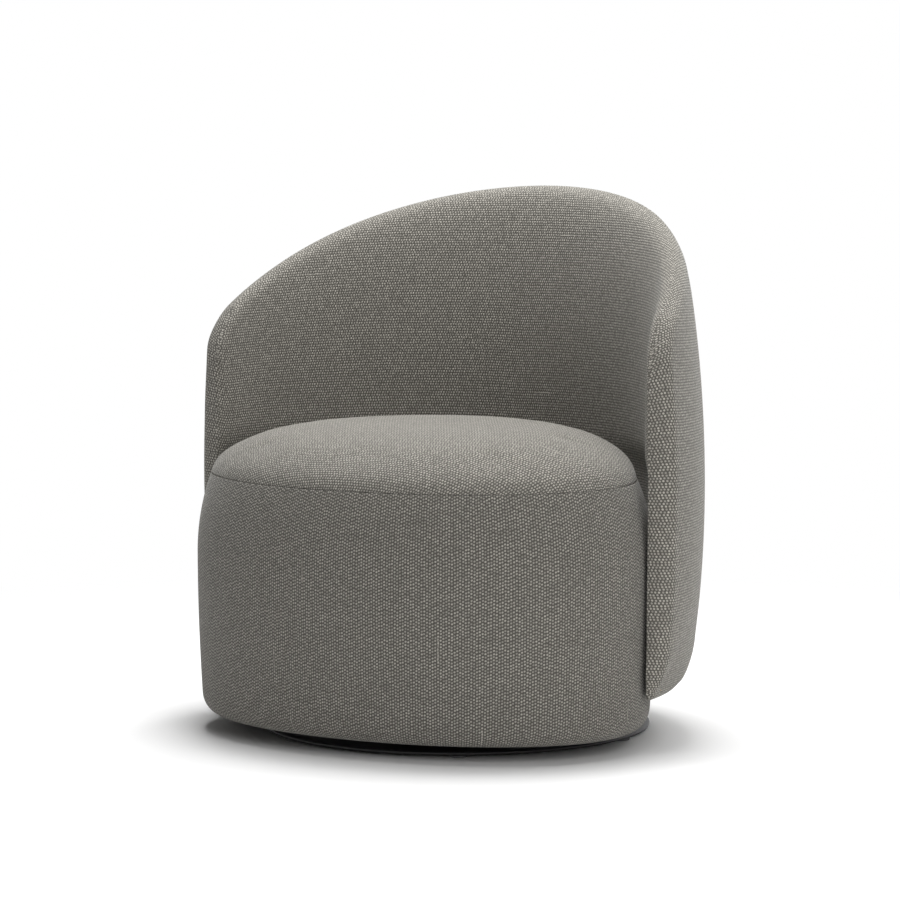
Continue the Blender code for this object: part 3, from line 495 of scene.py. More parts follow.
def back_top(share):
    """The top edge: a cubic Bezier curve of (share, height), less a quarter-ellipse corner."""
    u = np.linspace(0, 1, plan_steps)
    b0, b1, b2, b3 = (1 - u) ** 3, 3 * (1 - u) ** 2 * u, 3 * (1 - u) * u ** 2, u ** 3
    height = (b0 + b1) * (chair_height + top_allowance) + b2 * (wing_top + top_drop_handle)
    height = height + b3 * wing_top
    drop = wing_top_corner_height * quarter_fall(share_of(share, 1 - wing_top_corner_share, 1))
    return np.interp(share, b1 * top_flat_share + b2 + b3, height) - drop


def back_low(share):
    """The lower edge: level, with a quarter-ellipse corner at the wing's front."""
    corner = share_of(share, 1 - wing_corner_share, 1)
    return back_bottom + wing_corner_height * quarter_fall(corner)


def thickness_to_seat(points, outward):
    """How far inwards the seat's outline, widened by the gap, lies from the back's plan."""

    def is_outside(depth):
        x, y = (points - outward * depth[:, None]).T
        power, reach = half_outline(y < seat_widest_y)
        level = np.abs(x / (seat_half_width + seat_gap)) ** power
        return level + np.abs((y - seat_widest_y) / (reach + seat_gap)) ** power > 1

    return bisect(is_outside, np.zeros(len(points)), np.full(len(points), search_depth), 40)


def edge_round(distance, radius):
    """A quarter ellipse: 0 at an edge and 1 from the radius inwards."""
    return 1 - quarter_fall(1 - share_of(distance, 0, radius))


def back_sections(share, level):
    """Inner and outer points for shares along the back and levels from low to top edge."""
    points, outward, length = back_plan(share)
    blend = smooth(share)
    ridge_depth = (ridge_depth_rear + (ridge_depth_wing - ridge_depth_rear) * blend)[:, None]
    low, high = back_low(share)[:, None], back_top(share)[:, None]
    height = low + (high - low) * level
    thick = thickness_to_seat(points, outward)[:, None]
    above = share_of(height, back_fullest, chair_height)
    below = share_of(height, back_fullest, back_bottom)
    outer = -top_lean * above ** 2 - bottom_lean * below ** 2
    ridge = outer * inner_lean_share - ridge_depth
    front = np.broadcast_to((1 - share)[:, None] * length, height.shape)
    rear_round, wing_round = outer_top_rounds
    outer_edge = edge_round(high - height, rear_round + (wing_round - rear_round) * blend[:, None])
    bulge = wing_bulge * smooth(share_of(height, *bulge_heights)) * blend[:, None]
    inner_width = thick + bulge - ridge_depth
    rolled = np.minimum(inner_top_roll / inner_width, widest_roll)
    inner_edge = rolled * edge_round(high - height, inner_roll_height)
    inner_edge = inner_edge + (1 - rolled) * edge_round(high - height, high - lumbar_height)
    faces = []
    for width, edge, rounds in ((-inner_width, inner_edge, inner_rounds),
                                (outer - ridge, outer_edge, outer_rounds)):
        edge = edge * edge_round(height - low, rounds[0])
        offset = ridge + width * edge * edge_round(front, rounds[1])
        plan = points[:, None, :] + outward[:, None, :] * offset[..., None]
        faces.append(np.concatenate([plan, height[..., None]], axis=-1))
    return faces


back_columns = 72
back_levels = 64
share = np.sin(np.linspace(0, np.pi / 2, back_columns + 1))
level = (1 - np.cos(np.linspace(0, np.pi, back_levels + 1)))[None, :] / 2
inner, outer = back_sections(share, level)
section = np.concatenate([inner, outer[:, ::-1][:, 1:]], axis=1)
along = arc_length(section[..., :2], axis=0)
along *= along[-1].mean() / along[-1]
middle = back_levels // 2
faces_up = [arc_length(face, axis=1) for face in (inner, outer)]
faces_up = [up - up[:, middle:middle + 1] + face[:, middle:middle + 1, 2]
            for up, face in zip(faces_up, (inner, outer))]
edge_up = (faces_up[0][:, -1:] + faces_up[1][:, -1:]) / 2
for up, face in zip(faces_up, (inner, outer)):
    start = face[:, middle:middle + 1, 2]
    up[:, middle:] = start + (up[:, middle:] - start) * (edge_up - start) / (up[:, -1:] - start)
cloth_up = np.concatenate([faces_up[0], faces_up[1][:, ::-1][:, 1:]], axis=1)
section = np.concatenate([section[:0:-1] * (-1, 1, 1), section])
along = np.concatenate([-along[:0:-1], along])
cloth_up = np.concatenate([cloth_up[:0:-1], cloth_up])
chair_back = make_piece("chair_back", [(section, joined(cloth_up, along))])

# %% [markdown]
# ## Letting the pads swell
#
# Foam under cloth isn't a plain geometric form: it pushes the cloth out where nothing holds
# it. Blender's Cloth does that with a pressure inside the closed mesh and no gravity. What
# rests on wood or is sewn is pinned. The moves are then evened out between neighbours and
# capped, because the form has already been measured, and one subdivision smooths the result.

# %% Swell
swell_frames = 20
cloth_settings = {"quality": 5, "tension_stiffness": 15, "compression_stiffness": 15,
                  "shear_stiffness": 8, "bending_stiffness": 2, "use_pressure": True,
                  "uniform_pressure_force": 4.0, "vertex_group_mass": "held"}
evening_rounds = 12
band_back_inset = 0.0215
band_fold_inset = 0.0145
band_fold_height = 0.33
seam_rise_share = (seat_seam - rise_heights[0]) / (rise_heights[1] - rise_heights[0])


def evened(mesh, move, free):
    """The moves averaged with the neighbours' a few times, so that no single point stands out."""
    ends = np.empty(len(mesh.edges) * 2, np.int32)
    mesh.edges.foreach_get("vertices", ends)
    one, other = ends.reshape(-1, 2).T
    count = np.bincount(ends, minlength=len(move))[:, None]
    for _ in range(evening_rounds):
        total = np.zeros_like(move)
        np.add.at(total, one, move[other])
        np.add.at(total, other, move[one])
        move = (move + total / count) / 2 * free[:, None]
    return move


def swell(piece, pinned, cap):
    """Run the cloth with pressure, then keep cap * tanh(move / cap) of each point's move."""
    mesh = piece.data
    rest = places_of(mesh)
    held = piece.vertex_groups.new(name="held")
    held.add(np.flatnonzero(pinned(rest)).tolist(), 1.0, "REPLACE")
    cloth = piece.modifiers.new("swell", "CLOTH")
    for name, value in cloth_settings.items():
        setattr(cloth.settings, name, value)
    cloth.settings.effector_weights.gravity = 0
    cloth.collision_settings.use_collision = False
    cloth.point_cache.frame_end = swell_frames
    for step in range(1, swell_frames + 1):
        scene.frame_set(step)
    swollen = piece.evaluated_get(bpy.context.evaluated_depsgraph_get())
    move = evened(mesh, places_of(swollen.data) - rest, ~pinned(rest))
    size = np.maximum(np.linalg.norm(move, axis=1, keepdims=True), 1e-9)
    piece.modifiers.remove(cloth)
    piece.vertex_groups.remove(held)
    mesh.vertices.foreach_set("co", (rest + move / size * cap * np.tanh(size / cap)).ravel())
    mesh.update()
    scene.frame_set(1)
    print(f"{piece.name}: moved up to {1000 * size.max():.1f} mm, kept within {1000 * cap} mm")
    finer = piece.modifiers.new("finer", "SUBSURF")
    finer.levels = finer.render_levels = 1


def band_held(point):
    """The band is held at its seam, under the board and along the panel."""
    inset = inset_of(point[:, 0], point[:, 1])
    return (inset > band_back_inset) | (inset > band_fold_inset) & (point[:, 2] < band_fold_height)


def top_held(point):
    """The top panel is held at its seam and where it rests on the webbing."""
    inset = inset_of(point[:, 0], point[:, 1])
    level = point[:, 2] - rise_slope * seam_rise_share * (point[:, 1] - seat_front_y)
    return (inset < seam_tuck + 0.001) | (level < seat_seam - 0.0005)


def back_held(point):
    """The back is held along its lower edge, where the cloth is drawn under the foam."""
    return point[:, 2] < back_bottom + 0.010


swell(seat_band, band_held, 0.0015)
swell(seat_top, top_held, 0.003)
swell(chair_back, back_held, 0.0025)
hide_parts("seat_side_cover", "seat_side_foam")
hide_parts("seat_top_cover", "seat_foam")
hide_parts("back_cover", "back_foam")


# %% [markdown]
# ## Building materials from nodes
#
# The finishes are built from nodes in code. A small class keeps that readable: a Value stands
# for one output of a node, and reckoning with Values adds the Math nodes that do the same. So a
# formula in the code reads like the formula that the surface follows.

# %% Node helpers
class Value:
    """One output of a node. Reckoning with it adds Math nodes to its tree."""

    def __init__(self, tree, socket):
        self.tree, self.socket = tree, socket

    def math(self, operation, *others):
        """A Math node's result, with this value as its first input."""
        return add(self.tree, "ShaderNodeMath", enumerate((self, *others)), operation=operation)[0]

    def __add__(self, other):
        return self.math("ADD", other)

    def __sub__(self, other):
        return self.math("SUBTRACT", other)

    def __rsub__(self, other):
        return self.math("MULTIPLY_ADD", -1.0, other)

    def __mul__(self, other):
        return self.math("MULTIPLY", other)

    def __truediv__(self, other):
        return self.math("DIVIDE", other)

    def __pow__(self, other):
        return self.math("POWER", other)

    def __abs__(self):
        return self.math("ABSOLUTE")

    def ramp(self, low, high):
        """A smooth step from 0 to 1 between two levels."""
        levels = {"Value": self, "From Min": low, "From Max": high}
        return add(self.tree, "ShaderNodeMapRange", levels,
                   interpolation_type="SMOOTHSTEP")["Result"]

    def parts(self):
        """The three parts of a vector or a colour."""
        return add(self.tree, "ShaderNodeSeparateXYZ", {"Vector": self})

    def times(self, factors):
        """A vector with each part multiplied by its own factor."""
        return add(self.tree, "ShaderNodeVectorMath", {0: self, 1: factors},
                   operation="MULTIPLY")[0]

    def scaled(self, scale):
        """A vector or colour multiplied by one number."""
        return add(self.tree, "ShaderNodeVectorMath", {0: self, "Scale": scale},
                   operation="SCALE")[0]


def plug(socket, value):
    """Link a socket to a Value, or set it to a plain value."""
    if isinstance(value, Value):
        value.tree.links.new(value.socket, socket)
    else:
        socket.default_value = value


def values_of(tree, node):
    """A node's outputs as Values, by number and by name."""
    values = {number: Value(tree, socket) for number, socket in enumerate(node.outputs)}
    return {socket.name: Value(tree, socket) for socket in reversed(node.outputs)} | values


def add(tree, kind, inputs=(), **settings):
    """Add a node, give it its settings, plug its inputs and return its outputs."""
    node = tree.nodes.new(kind)
    for name, value in settings.items():
        setattr(node, name, value)
    for key, value in dict(inputs).items():
        plug(node.inputs[key], value)
    return values_of(tree, node)


def blend(tree, share, first, second):
    """A mix of two colours."""
    return add(tree, "ShaderNodeMix", {0: share, 6: first, 7: second}, data_type="RGBA")[2]


def noise(tree, place, scale=1.0, detail=2.0, distortion=0.0):
    """A Noise Texture's outputs."""
    return add(tree, "ShaderNodeTexNoise", {"Vector": place, "Scale": scale, "Detail": detail,
                                            "Distortion": distortion})


def chance(tree, column, row, seed):
    """A White Noise Texture's outputs: one even chance for each whole place."""
    cell = add(tree, "ShaderNodeCombineXYZ", {0: column, 1: row, 2: seed})[0]
    return add(tree, "ShaderNodeTexWhiteNoise", {"Vector": cell}, noise_dimensions="3D")


def make_group(name, inputs, outputs, build):
    """A shader node group from the (kind, value) of its inputs and what build makes of them."""
    group = bpy.data.node_groups.new(name, "ShaderNodeTree")
    for label, (kind, value) in inputs.items():
        socket = group.interface.new_socket(label, in_out="INPUT", socket_type="NodeSocket" + kind)
        if value is not None:
            socket.default_value = value
    for label, kind in outputs.items():
        group.interface.new_socket(label, in_out="OUTPUT", socket_type="NodeSocket" + kind)
    results = build(group, values_of(group, group.nodes.new("NodeGroupInput")))
    output = group.nodes.new("NodeGroupOutput")
    for label, value in zip(outputs, results):
        plug(output.inputs[label], value)
    print(f"group {name}: {len(group.nodes)} nodes")
    return group


def new_material(name, **settings):
    """A material with a Principled shader, whose plain values go on the shader's own sockets."""
    material = bpy.data.materials.new(name)
    material.use_nodes = True
    shader = material.node_tree.nodes["Principled BSDF"]
    for label, value in settings.items():
        shader.inputs[label.replace("_", " ")].default_value = value
    return material, material.node_tree, shader


def dress(shader, colour, height, strength, depth, roughness=None):
    """Give a shader its colour, the bump of a height and, where it changes, its roughness."""
    plug(shader.inputs["Base Color"], colour)
    if roughness is not None:
        plug(shader.inputs["Roughness"], roughness)
    plug(shader.inputs["Normal"], add(height.tree, "ShaderNodeBump", {
        "Strength": strength, "Distance": depth, "Height": height})[0])


# %% [markdown]
# ## The weave
#
# The cloth is a coarse two-tone weave. Dark yarns run in columns, and light yarns come up over
# them in short floats. Four columns make the repeat: their floats start at 0, 1/2, 1/4 and 3/4
# of the step, which weavers call a broken twill and which looks like an even scatter of light
# grains. The pattern is worked out from the cloth's own places in metres, so it follows the
# form and keeps its size, where an image would need the whole chair unwrapped.

# %% Weave group
wander_across, wander_along = 0.16, 0.24
nudge = 0.16
float_half_width, float_half_length = 0.44, 0.36
float_slant = -0.10
slub_length = 0.14
slub_rarity = 0.9982


def weave(tree, given):
    """Colour and height from the cloth's places: columns across it and floats along them."""
    drift = noise(tree, given["Place"], 14.0)["Color"].parts()
    place = given["Place"].parts()
    across = (place[0] / given["Column Width"]
              + (drift[0] - 0.5) * wander_across * given["Unevenness"])
    column = across.math("FLOOR")
    second = column.math("FLOORED_MODULO", 2.0) * 0.5
    quarter = (column * 0.5).math("FLOOR").math("FLOORED_MODULO", 2.0) * 0.25
    jitter = add(tree, "ShaderNodeTexWhiteNoise", {"W": column}, noise_dimensions="1D")["Value"]
    along = (place[1] / given["Float Step"] + (second + quarter
             + (jitter * 0.12 + (drift[1] - 0.5) * wander_along * given["Unevenness"])))
    chances = chance(tree, column, along.math("FLOOR"), 0.0)["Color"].parts()
    dx = across.math("FRACT") - 0.5 + (chances[0] - 0.5) * nudge
    dy = along.math("FRACT") - 0.5 + (chances[1] - 0.5) * nudge
    dy = dy + dx * float_slant
    distance = ((dx / float_half_width) ** 2.0 + (dy / float_half_length) ** 2.0).math("SQRT")
    light = 1.0 - distance.ramp(0.62, 1.08)
    dome = (1.0 - distance * distance).math("MAXIMUM", 0.0).math("SQRT")
    rib = (dx * (2 * np.pi)).math("COSINE") * 0.12
    fibre = noise(tree, given["Place"].times((5200.0, 1900.0, 1.0)), detail=1.0)["Fac"]
    fibre_tone = fibre.math("MULTIPLY_ADD", 0.5, 0.75)
    slub_chance = chance(tree, column, (along * slub_length).math("FLOOR"), 7.0)["Value"]
    slub = slub_chance.math("GREATER_THAN", slub_rarity) * (1.0 - abs(dx).ramp(0.10, 0.24))
    tone = chances[2].math("MULTIPLY_ADD", 0.5, 0.75) * fibre_tone
    colour = blend(tree, light.math("MAXIMUM", slub), given["Dark Yarn"].scaled(fibre_tone),
                   given["Light Yarn"].scaled(tone))
    height = dome.math("MAXIMUM", slub * 0.6) + rib
    return colour, fibre.math("MULTIPLY_ADD", 0.15, height)


broken_twill = make_group(
    "broken_twill",
    {"Place": ("Vector", None), "Column Width": ("Float", 0.0038), "Float Step": ("Float", 0.0044),
     "Light Yarn": ("Color", (0.3, 0.28, 0.24, 1)), "Dark Yarn": ("Color", (0.05, 0.045, 0.035, 1)),
     "Unevenness": ("Float", 1.0)},
    {"Color": "Color", "Height": "Float"}, weave)

# %% Upholstery cloth
light_yarn = np.array([0.345, 0.328, 0.292, 1])
dark_yarn = np.array([0.092, 0.087, 0.076, 1])
float_step = 0.00438


def upholstery_cloth(name, column_width, tone):
    """The woven cloth of one piece, on its own map of places; tone scales its yarns as painted
    light and shade.
    """
    material, tree, shader = new_material(
        name, Roughness=0.92, Specular_IOR_Level=0.25, Sheen_Weight=0.25, Sheen_Roughness=0.45,
        Sheen_Tint=(0.80, 0.80, 0.78, 1))
    places = add(tree, "ShaderNodeUVMap", uv_map="cloth")[0]
    # tone paints light and shade into both yarn colours of the same cloth
    woven = add(tree, "ShaderNodeGroup", {
        "Place": places, "Column Width": column_width, "Float Step": float_step,
        "Light Yarn": light_yarn * tone, "Dark Yarn": dark_yarn * tone}, node_tree=broken_twill)
    dress(shader, woven["Color"], woven["Height"], 0.6, 0.0010)
    return material


# Painted light and shade: the same cloth is made darker on the band (0.90) and lighter on the top
# (1.03) and the back (1.13), for how the light falls on each.
for piece, column_width, tone in ((seat_band, 0.00375, 0.90), (seat_top, 0.00380, 1.03),
                                  (chair_back, 0.00375, 1.13)):
    piece.data.materials.append(upholstery_cloth(piece.name + "_cloth", column_width, tone))

# %% [markdown]
# ## The floor disc
#
# A thin steel disc carries the chair. Its rim is a half round, which a lathe profile gives, and
# it is turned in many steps because its edge is a long clean line in the picture. It keeps the
# packed plate's bore and its four screw holes, which are cut with plain cylinders.

# %% Floor disc
disc_radius = 0.2745
disc_bottom = 0.0033
disc_thickness = 0.005
disc_steps = 180
bore_radius = 0.016
screw_place = 0.083
screw_radius = 0.0033


def turned_grid(profile, steps):
    """A closed (radius, height) profile carried round the upright axis."""
    turn = np.linspace(0, 2 * np.pi, steps + 1)[:, None]
    radius, height = profile[None, :, 0], profile[None, :, 1]
    return joined(radius * np.cos(turn), radius * np.sin(turn), height)


def cylinder_grid(centre, radius, low, high):
    """A capped upright cylinder: its caps' middles are rings of no width."""
    profile = np.array([[0, low], [radius, low], [radius, high], [0, high]])
    return turned_grid(profile, 24) + (*centre, 0)


rim = np.linspace(-np.pi / 2, np.pi / 2, 9)
rim = joined(np.cos(rim), np.sin(rim) + 1) * disc_thickness / 2
rim += (disc_radius - disc_thickness / 2, disc_bottom)
bore = np.array([[bore_radius, disc_bottom + disc_thickness], [bore_radius, disc_bottom]])
disc_points = turned_grid(np.concatenate([rim, bore, rim[:1]]), disc_steps)
floor_disc = make_piece("floor_disc", [(disc_points, disc_points[..., :2])], "base")
for corner_x, corner_y in ((-1, -1), (-1, 1), (1, -1), (1, 1)):
    hole = cylinder_grid((screw_place * corner_x, screw_place * corner_y), screw_radius, 0, 0.02)
    drill = make_piece("drill", [(hole, hole[..., :2])], "base")
    cut = floor_disc.modifiers.new("hole", "BOOLEAN")
    cut.operation = "DIFFERENCE"
    cut.object = drill
    drilled = bpy.data.meshes.new_from_object(
        floor_disc.evaluated_get(bpy.context.evaluated_depsgraph_get()))
    floor_disc.modifiers.remove(cut)
    floor_disc.data = drilled
    bpy.data.objects.remove(drill)
floor_disc.data.set_sharp_from_angle(angle=np.radians(25))
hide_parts("base_plate")
print("disc", len(floor_disc.data.polygons), "faces after drilling")

# %% [markdown]
# ## The dust sheet
#
# Black non-woven sheet is stapled under the seat board, cut out round the swivel bearing. It is
# drawn fairly tight, so it only dips a little between its edges. It is one surface between two
# outlines, the bearing's rounded square and the seat's own line, and Solidify makes it thin cloth.

# %% Dust sheet
sheet_height = 0.0247
sheet_dip = 0.0008
hole_half = 0.100
hole_corner = 0.022
hole_gap = 0.009
sheet_inset = 0.054
pucker_count = 44


def square_reach(turn):
    """From the centre to a rounded square's edge: the flat side, or the corner's circle."""
    c, s = np.abs(np.cos(turn)), np.abs(np.sin(turn))
    straight = hole_half - hole_corner
    along = straight * (c + s)
    corner = along + np.sqrt(np.maximum(along ** 2 - 2 * straight ** 2 + hole_corner ** 2, 0))
    flat = hole_half * np.minimum(c, s) / np.maximum(c, s) <= straight
    return np.where(flat, hole_half / np.maximum(c, s), corner)


edge = joined(*seat_plan(np.linspace(0, 2 * np.pi, 241), sheet_inset))
edge_turn = np.arctan2(edge[:, 1], edge[:, 0])
reach = (square_reach(edge_turn) + hole_gap)[:, None]
hole = reach * joined(np.cos(edge_turn), np.sin(edge_turn))
way = np.linspace(0, 1, 15)[:, None, None]
sheet_plan = hole + (edge - hole) * way
pucker = 0.25 * np.sin(edge_turn * pucker_count)[None, :] * np.sin(np.pi * way[..., 0] ** 3)
dip = sheet_dip * (np.sin(np.pi * way[..., 0]) * 0.75 + pucker)
sheet_points = np.concatenate([sheet_plan, (sheet_height - dip)[..., None]], -1)
dust_sheet = make_piece("dust_sheet", [(sheet_points, sheet_plan)])
solid = dust_sheet.modifiers.new("thickness", "SOLIDIFY")
solid.thickness = 0.0004
solid.offset = 0


def plan_area(outline):
    """The area inside a closed outline, by the sum of cross products."""
    x, y = outline[:, 0], outline[:, 1]
    return abs(np.sum(x[:-1] * y[1:] - x[1:] * y[:-1])) / 2


sheet_area = plan_area(edge) - plan_area(hole)
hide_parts("dust_cloth")
print(f"dust sheet {sheet_area:.4f} square metres")

# %% [markdown]
# ## The woven straps
#
# Three elastic straps run from front to rear and three from side to side under the seat foam,
# over and under each other. A strap is a flat section carried along a wave that rises and falls
# smoothly between the crossings. Its thickness shrinks to nothing at both ends, which closes it.

# %% Straps
strap_width = 0.050
strap_thickness = 0.002
strap_middle = 0.3206
strap_lift = 0.0013
strap_taper = 0.0004
strap_end_share = 0.36
strap_step_share = 0.16
side_pitch = 2 * seat_half_width * 0.163
depth_pitch = (seat_front_reach + seat_rear_reach) * 0.212
strap_centre_y = seat_widest_y + (seat_rear_reach - seat_front_reach) / 2


def strap_section(steps=7):
    """A flat section with rounded edges: (across, up) shares round it, from -1 to 1."""
    turn = np.linspace(-np.pi / 2, np.pi / 2, steps)
    side = joined(0.98 + 0.02 * np.cos(turn), np.sin(turn))
    top = joined(np.linspace(0.9, -0.9, 7), 1)
    left = side[::-1] * (-1, 1)
    bottom = top[::-1] * (1, -1)
    return np.concatenate([side, top, left, bottom, side[:1]])


def strap_grid(start, stop, first, pitch, sign):
    """The strap along its run: a smooth step between each two levels of the wave."""
    run = np.concatenate([[start, start + strap_taper],
                          np.linspace(start + 0.001, stop - 0.001, 90),
                          [stop - strap_taper, stop]])
    centres = first + pitch * np.arange(3)
    levels = np.array([-1, sign, -sign, sign, -1])
    turns = np.concatenate([[first - strap_end_share * pitch], (centres[:-1] + centres[1:]) / 2,
                            [centres[-1] + strap_end_share * pitch]])
    wave = np.full_like(run, levels[0])
    for turn_at, low, high in zip(turns, levels[:-1], levels[1:]):
        half = strap_step_share * pitch / 2
        wave = wave + (high - low) * smooth(share_of(run, turn_at - half, turn_at + half))
    thickness = share_of(np.minimum(run - start, stop - run), 0, strap_taper) * strap_thickness
    return run, strap_middle + strap_lift * wave, thickness


section = strap_section()
for lengthwise in (True, False):
    for k in range(3):
        name = f"{'lengthwise' if lengthwise else 'crosswise'}_{k + 1}"
        low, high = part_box("webbing_" + name)
        axis = 1 if lengthwise else 0
        pitch = depth_pitch if lengthwise else side_pitch
        centre = strap_centre_y if lengthwise else 0.0
        sign = (1 if lengthwise else -1) * (-1) ** k
        run, height, thickness = strap_grid(low[axis], high[axis], centre - pitch, pitch, sign)
        aside = section[:, 0] * strap_width / 2
        along, across = run[:, None], (low[1 - axis] + high[1 - axis]) / 2 + aside
        z = height[:, None] + section[None, :, 1] * thickness[:, None] / 2
        points = joined(across, along, z) if lengthwise else joined(along, across, z)
        cloth = joined(aside, along)
        strap = make_piece("strap_" + name, [(points, cloth)])
        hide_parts("webbing_" + name)

# %% [markdown]
# ## Finishes of the wood
#
# Plywood and beech share one effect, the grain: long soft bands with fine pores along them. The
# group takes a place whose Y runs along the grain. On a plywood edge the plies show instead, and
# those faces are known by their normal, because the boards lie level.

# %% Wood group
def wood(tree, given):
    """Grain: noise stretched along Y for the bands, and finer noise for the pores."""
    bands = noise(tree, given["Place"].times((55.0, 3.0, 55.0)), detail=4.0, distortion=0.6)["Fac"]
    pores = noise(tree, given["Place"].times((900.0, 60.0, 900.0)))["Fac"]
    dark = pores.ramp(0.56, 0.68) * given["Pores"]
    tone = (bands.ramp(0.32, 0.68) + dark).math("MINIMUM", 1.0)
    return blend(tree, tone, given["Light Wood"], given["Dark Wood"]), 1.0 - dark, tone


wood_grain = make_group(
    "wood_grain",
    {"Place": ("Vector", None), "Light Wood": ("Color", (0.55, 0.38, 0.22, 1)),
     "Dark Wood": ("Color", (0.38, 0.24, 0.12, 1)), "Pores": ("Float", 0.5)},
    {"Color": "Color", "Height": "Float", "Tone": "Float"}, wood)


def wood_material(name, turn, light, dark, plies=0.0):
    """Wood with its grain along the place's Y after a turn, and plies on upright faces."""
    material, tree, shader = new_material(name, Specular_IOR_Level=0.35)
    coordinates = add(tree, "ShaderNodeTexCoord")
    turned = add(tree, "ShaderNodeMapping", {"Vector": coordinates["Object"], "Rotation": turn})[0]
    grain = add(tree, "ShaderNodeGroup", {"Place": turned, "Light Wood": light, "Dark Wood": dark},
                node_tree=wood_grain)
    colour = grain["Color"]
    if plies:
        layer = abs((coordinates["Object"].parts()[2] / plies).math("FRACT") - 0.5)
        layers = blend(tree, layer.ramp(0.22, 0.28), dark, light)
        layers = blend(tree, layer.math("GREATER_THAN", 0.46), layers, glue_colour)
        level = abs(coordinates["Normal"].parts()[2]).math("GREATER_THAN", 0.5)
        colour = blend(tree, level, layers, colour)
    dress(shader, colour, grain["Height"], 0.3, 0.0003,
          grain["Tone"].math("MULTIPLY_ADD", 0.15, 0.52))
    return material


glue_colour = (0.10, 0.055, 0.025, 1)
birch_light, birch_dark = (0.58, 0.42, 0.26, 1), (0.42, 0.28, 0.15, 1)
board_ply = wood_material("board_plywood", (0, 0, np.pi / 2), birch_light, birch_dark, 0.0030)
shell_ply = wood_material("shell_plywood", (np.pi / 2, 0, 0), birch_light, birch_dark)
beech = wood_material("beech", (np.pi / 2, 0, 0), (0.55, 0.33, 0.20, 1), (0.43, 0.24, 0.13, 1))

# %% [markdown]
# ## Speckled and metal finishes
#
# Powder coat, nylon, pressed board, the dust sheet and plated steel all have a fine uneven
# grain of their own scale. One group makes it, and each material sets the scale, the two colours
# and how rough its light and dark places are.

# %% Speckle group
def speckle(tree, given):
    """Two colours mixed by fine noise over a broad one; the fine noise is also the height."""
    fine = noise(tree, given["Place"], given["Grain Size"] ** -1.0)["Fac"]
    broad = noise(tree, given["Place"], 22.0, 3.0)["Fac"]
    mixed = fine.ramp(0.35, 0.65) * 0.7 + broad.ramp(0.35, 0.65) * 0.3
    roughness = mixed.math("MULTIPLY_ADD", given["Rough"] - given["Smooth"], given["Smooth"])
    return blend(tree, mixed, given["Dark"], given["Light"]), roughness, fine


fine_speckle = make_group(
    "fine_speckle",
    {"Place": ("Vector", None), "Grain Size": ("Float", 0.001),
     "Light": ("Color", (0.5, 0.5, 0.5, 1)), "Dark": ("Color", (0.1, 0.1, 0.1, 1)),
     "Smooth": ("Float", 0.4), "Rough": ("Float", 0.6)},
    {"Color": "Color", "Roughness": "Float", "Height": "Float"}, speckle)


def speckled(name, size, light, dark, smooth, rough, bump_depth, metal=0.0, stretch=(1, 1, 1)):
    """A finish from the speckle group on object places, stretched along its working direction."""
    material, tree, shader = new_material(name, Metallic=metal, Specular_IOR_Level=0.4)
    place = add(tree, "ShaderNodeMapping", {
        "Vector": add(tree, "ShaderNodeTexCoord")["Object"], "Scale": stretch})[0]
    grain = add(tree, "ShaderNodeGroup", {
        "Place": place, "Grain Size": size, "Light": (*light, 1), "Dark": (*dark, 1),
        "Smooth": smooth, "Rough": rough}, node_tree=fine_speckle)
    dress(shader, grain["Color"], grain["Height"], 0.4, bump_depth, grain["Roughness"])
    return material


powder_black = speckled("powder_black", 0.0009, (0.022, 0.022, 0.023), (0.012, 0.012, 0.013),
                        0.38, 0.52, 0.0002)
zinc = speckled("zinc_plate", 0.006, (0.72, 0.72, 0.70), (0.52, 0.53, 0.54),
                0.30, 0.46, 0.0001, metal=1.0)
steel = speckled("bright_steel", 0.0012, (0.66, 0.65, 0.63), (0.50, 0.50, 0.49),
                 0.18, 0.30, 0.00005, metal=1.0, stretch=(1, 1, 4))
nylon = speckled("nylon", 0.0006, (0.10, 0.10, 0.10), (0.07, 0.07, 0.072), 0.42, 0.55, 0.0001)
hardboard = speckled("hardboard", 0.0016, (0.30, 0.17, 0.08), (0.17, 0.09, 0.04),
                     0.60, 0.80, 0.0003)
fleece = speckled("dust_fleece", 0.0011, (0.030, 0.030, 0.031), (0.010, 0.010, 0.011),
                  0.85, 0.95, 0.0004, stretch=(1, 3, 1))

# %% Strap cloth
rib_pitch, pick_pitch = 0.0022, 0.0026
line_place = 0.017


def strap_material():
    """Elastic strap: ribs along it, rubber threads across, and a coloured line by each edge."""
    material, tree, shader = new_material("strap_weave", Roughness=0.8, Specular_IOR_Level=0.2)
    place = add(tree, "ShaderNodeUVMap", uv_map="cloth")[0].parts()
    rib = (place[0] * (2 * np.pi / rib_pitch)).math("COSINE")
    pick = (place[1] * (2 * np.pi / pick_pitch)).math("COSINE")
    weave_share = (rib * pick).math("MULTIPLY_ADD", 0.5, 0.5)
    beside_line = abs(abs(place[0]) - line_place).ramp(0.0016, 0.0024)
    cloth = blend(tree, weave_share, (0.030, 0.028, 0.026, 1), (0.075, 0.070, 0.062, 1))
    lines = blend(tree, weave_share, (0.20, 0.17, 0.12, 1), (0.34, 0.30, 0.22, 1))
    dress(shader, blend(tree, beside_line, lines, cloth), weave_share, 0.6, 0.0004)
    return material


strap_weave = strap_material()
for piece in list(scene.collection.all_objects):
    if piece.name.startswith("strap_"):
        piece.data.materials.append(strap_weave)
dust_sheet.data.materials.append(fleece)
floor_disc.data.materials.append(powder_black)

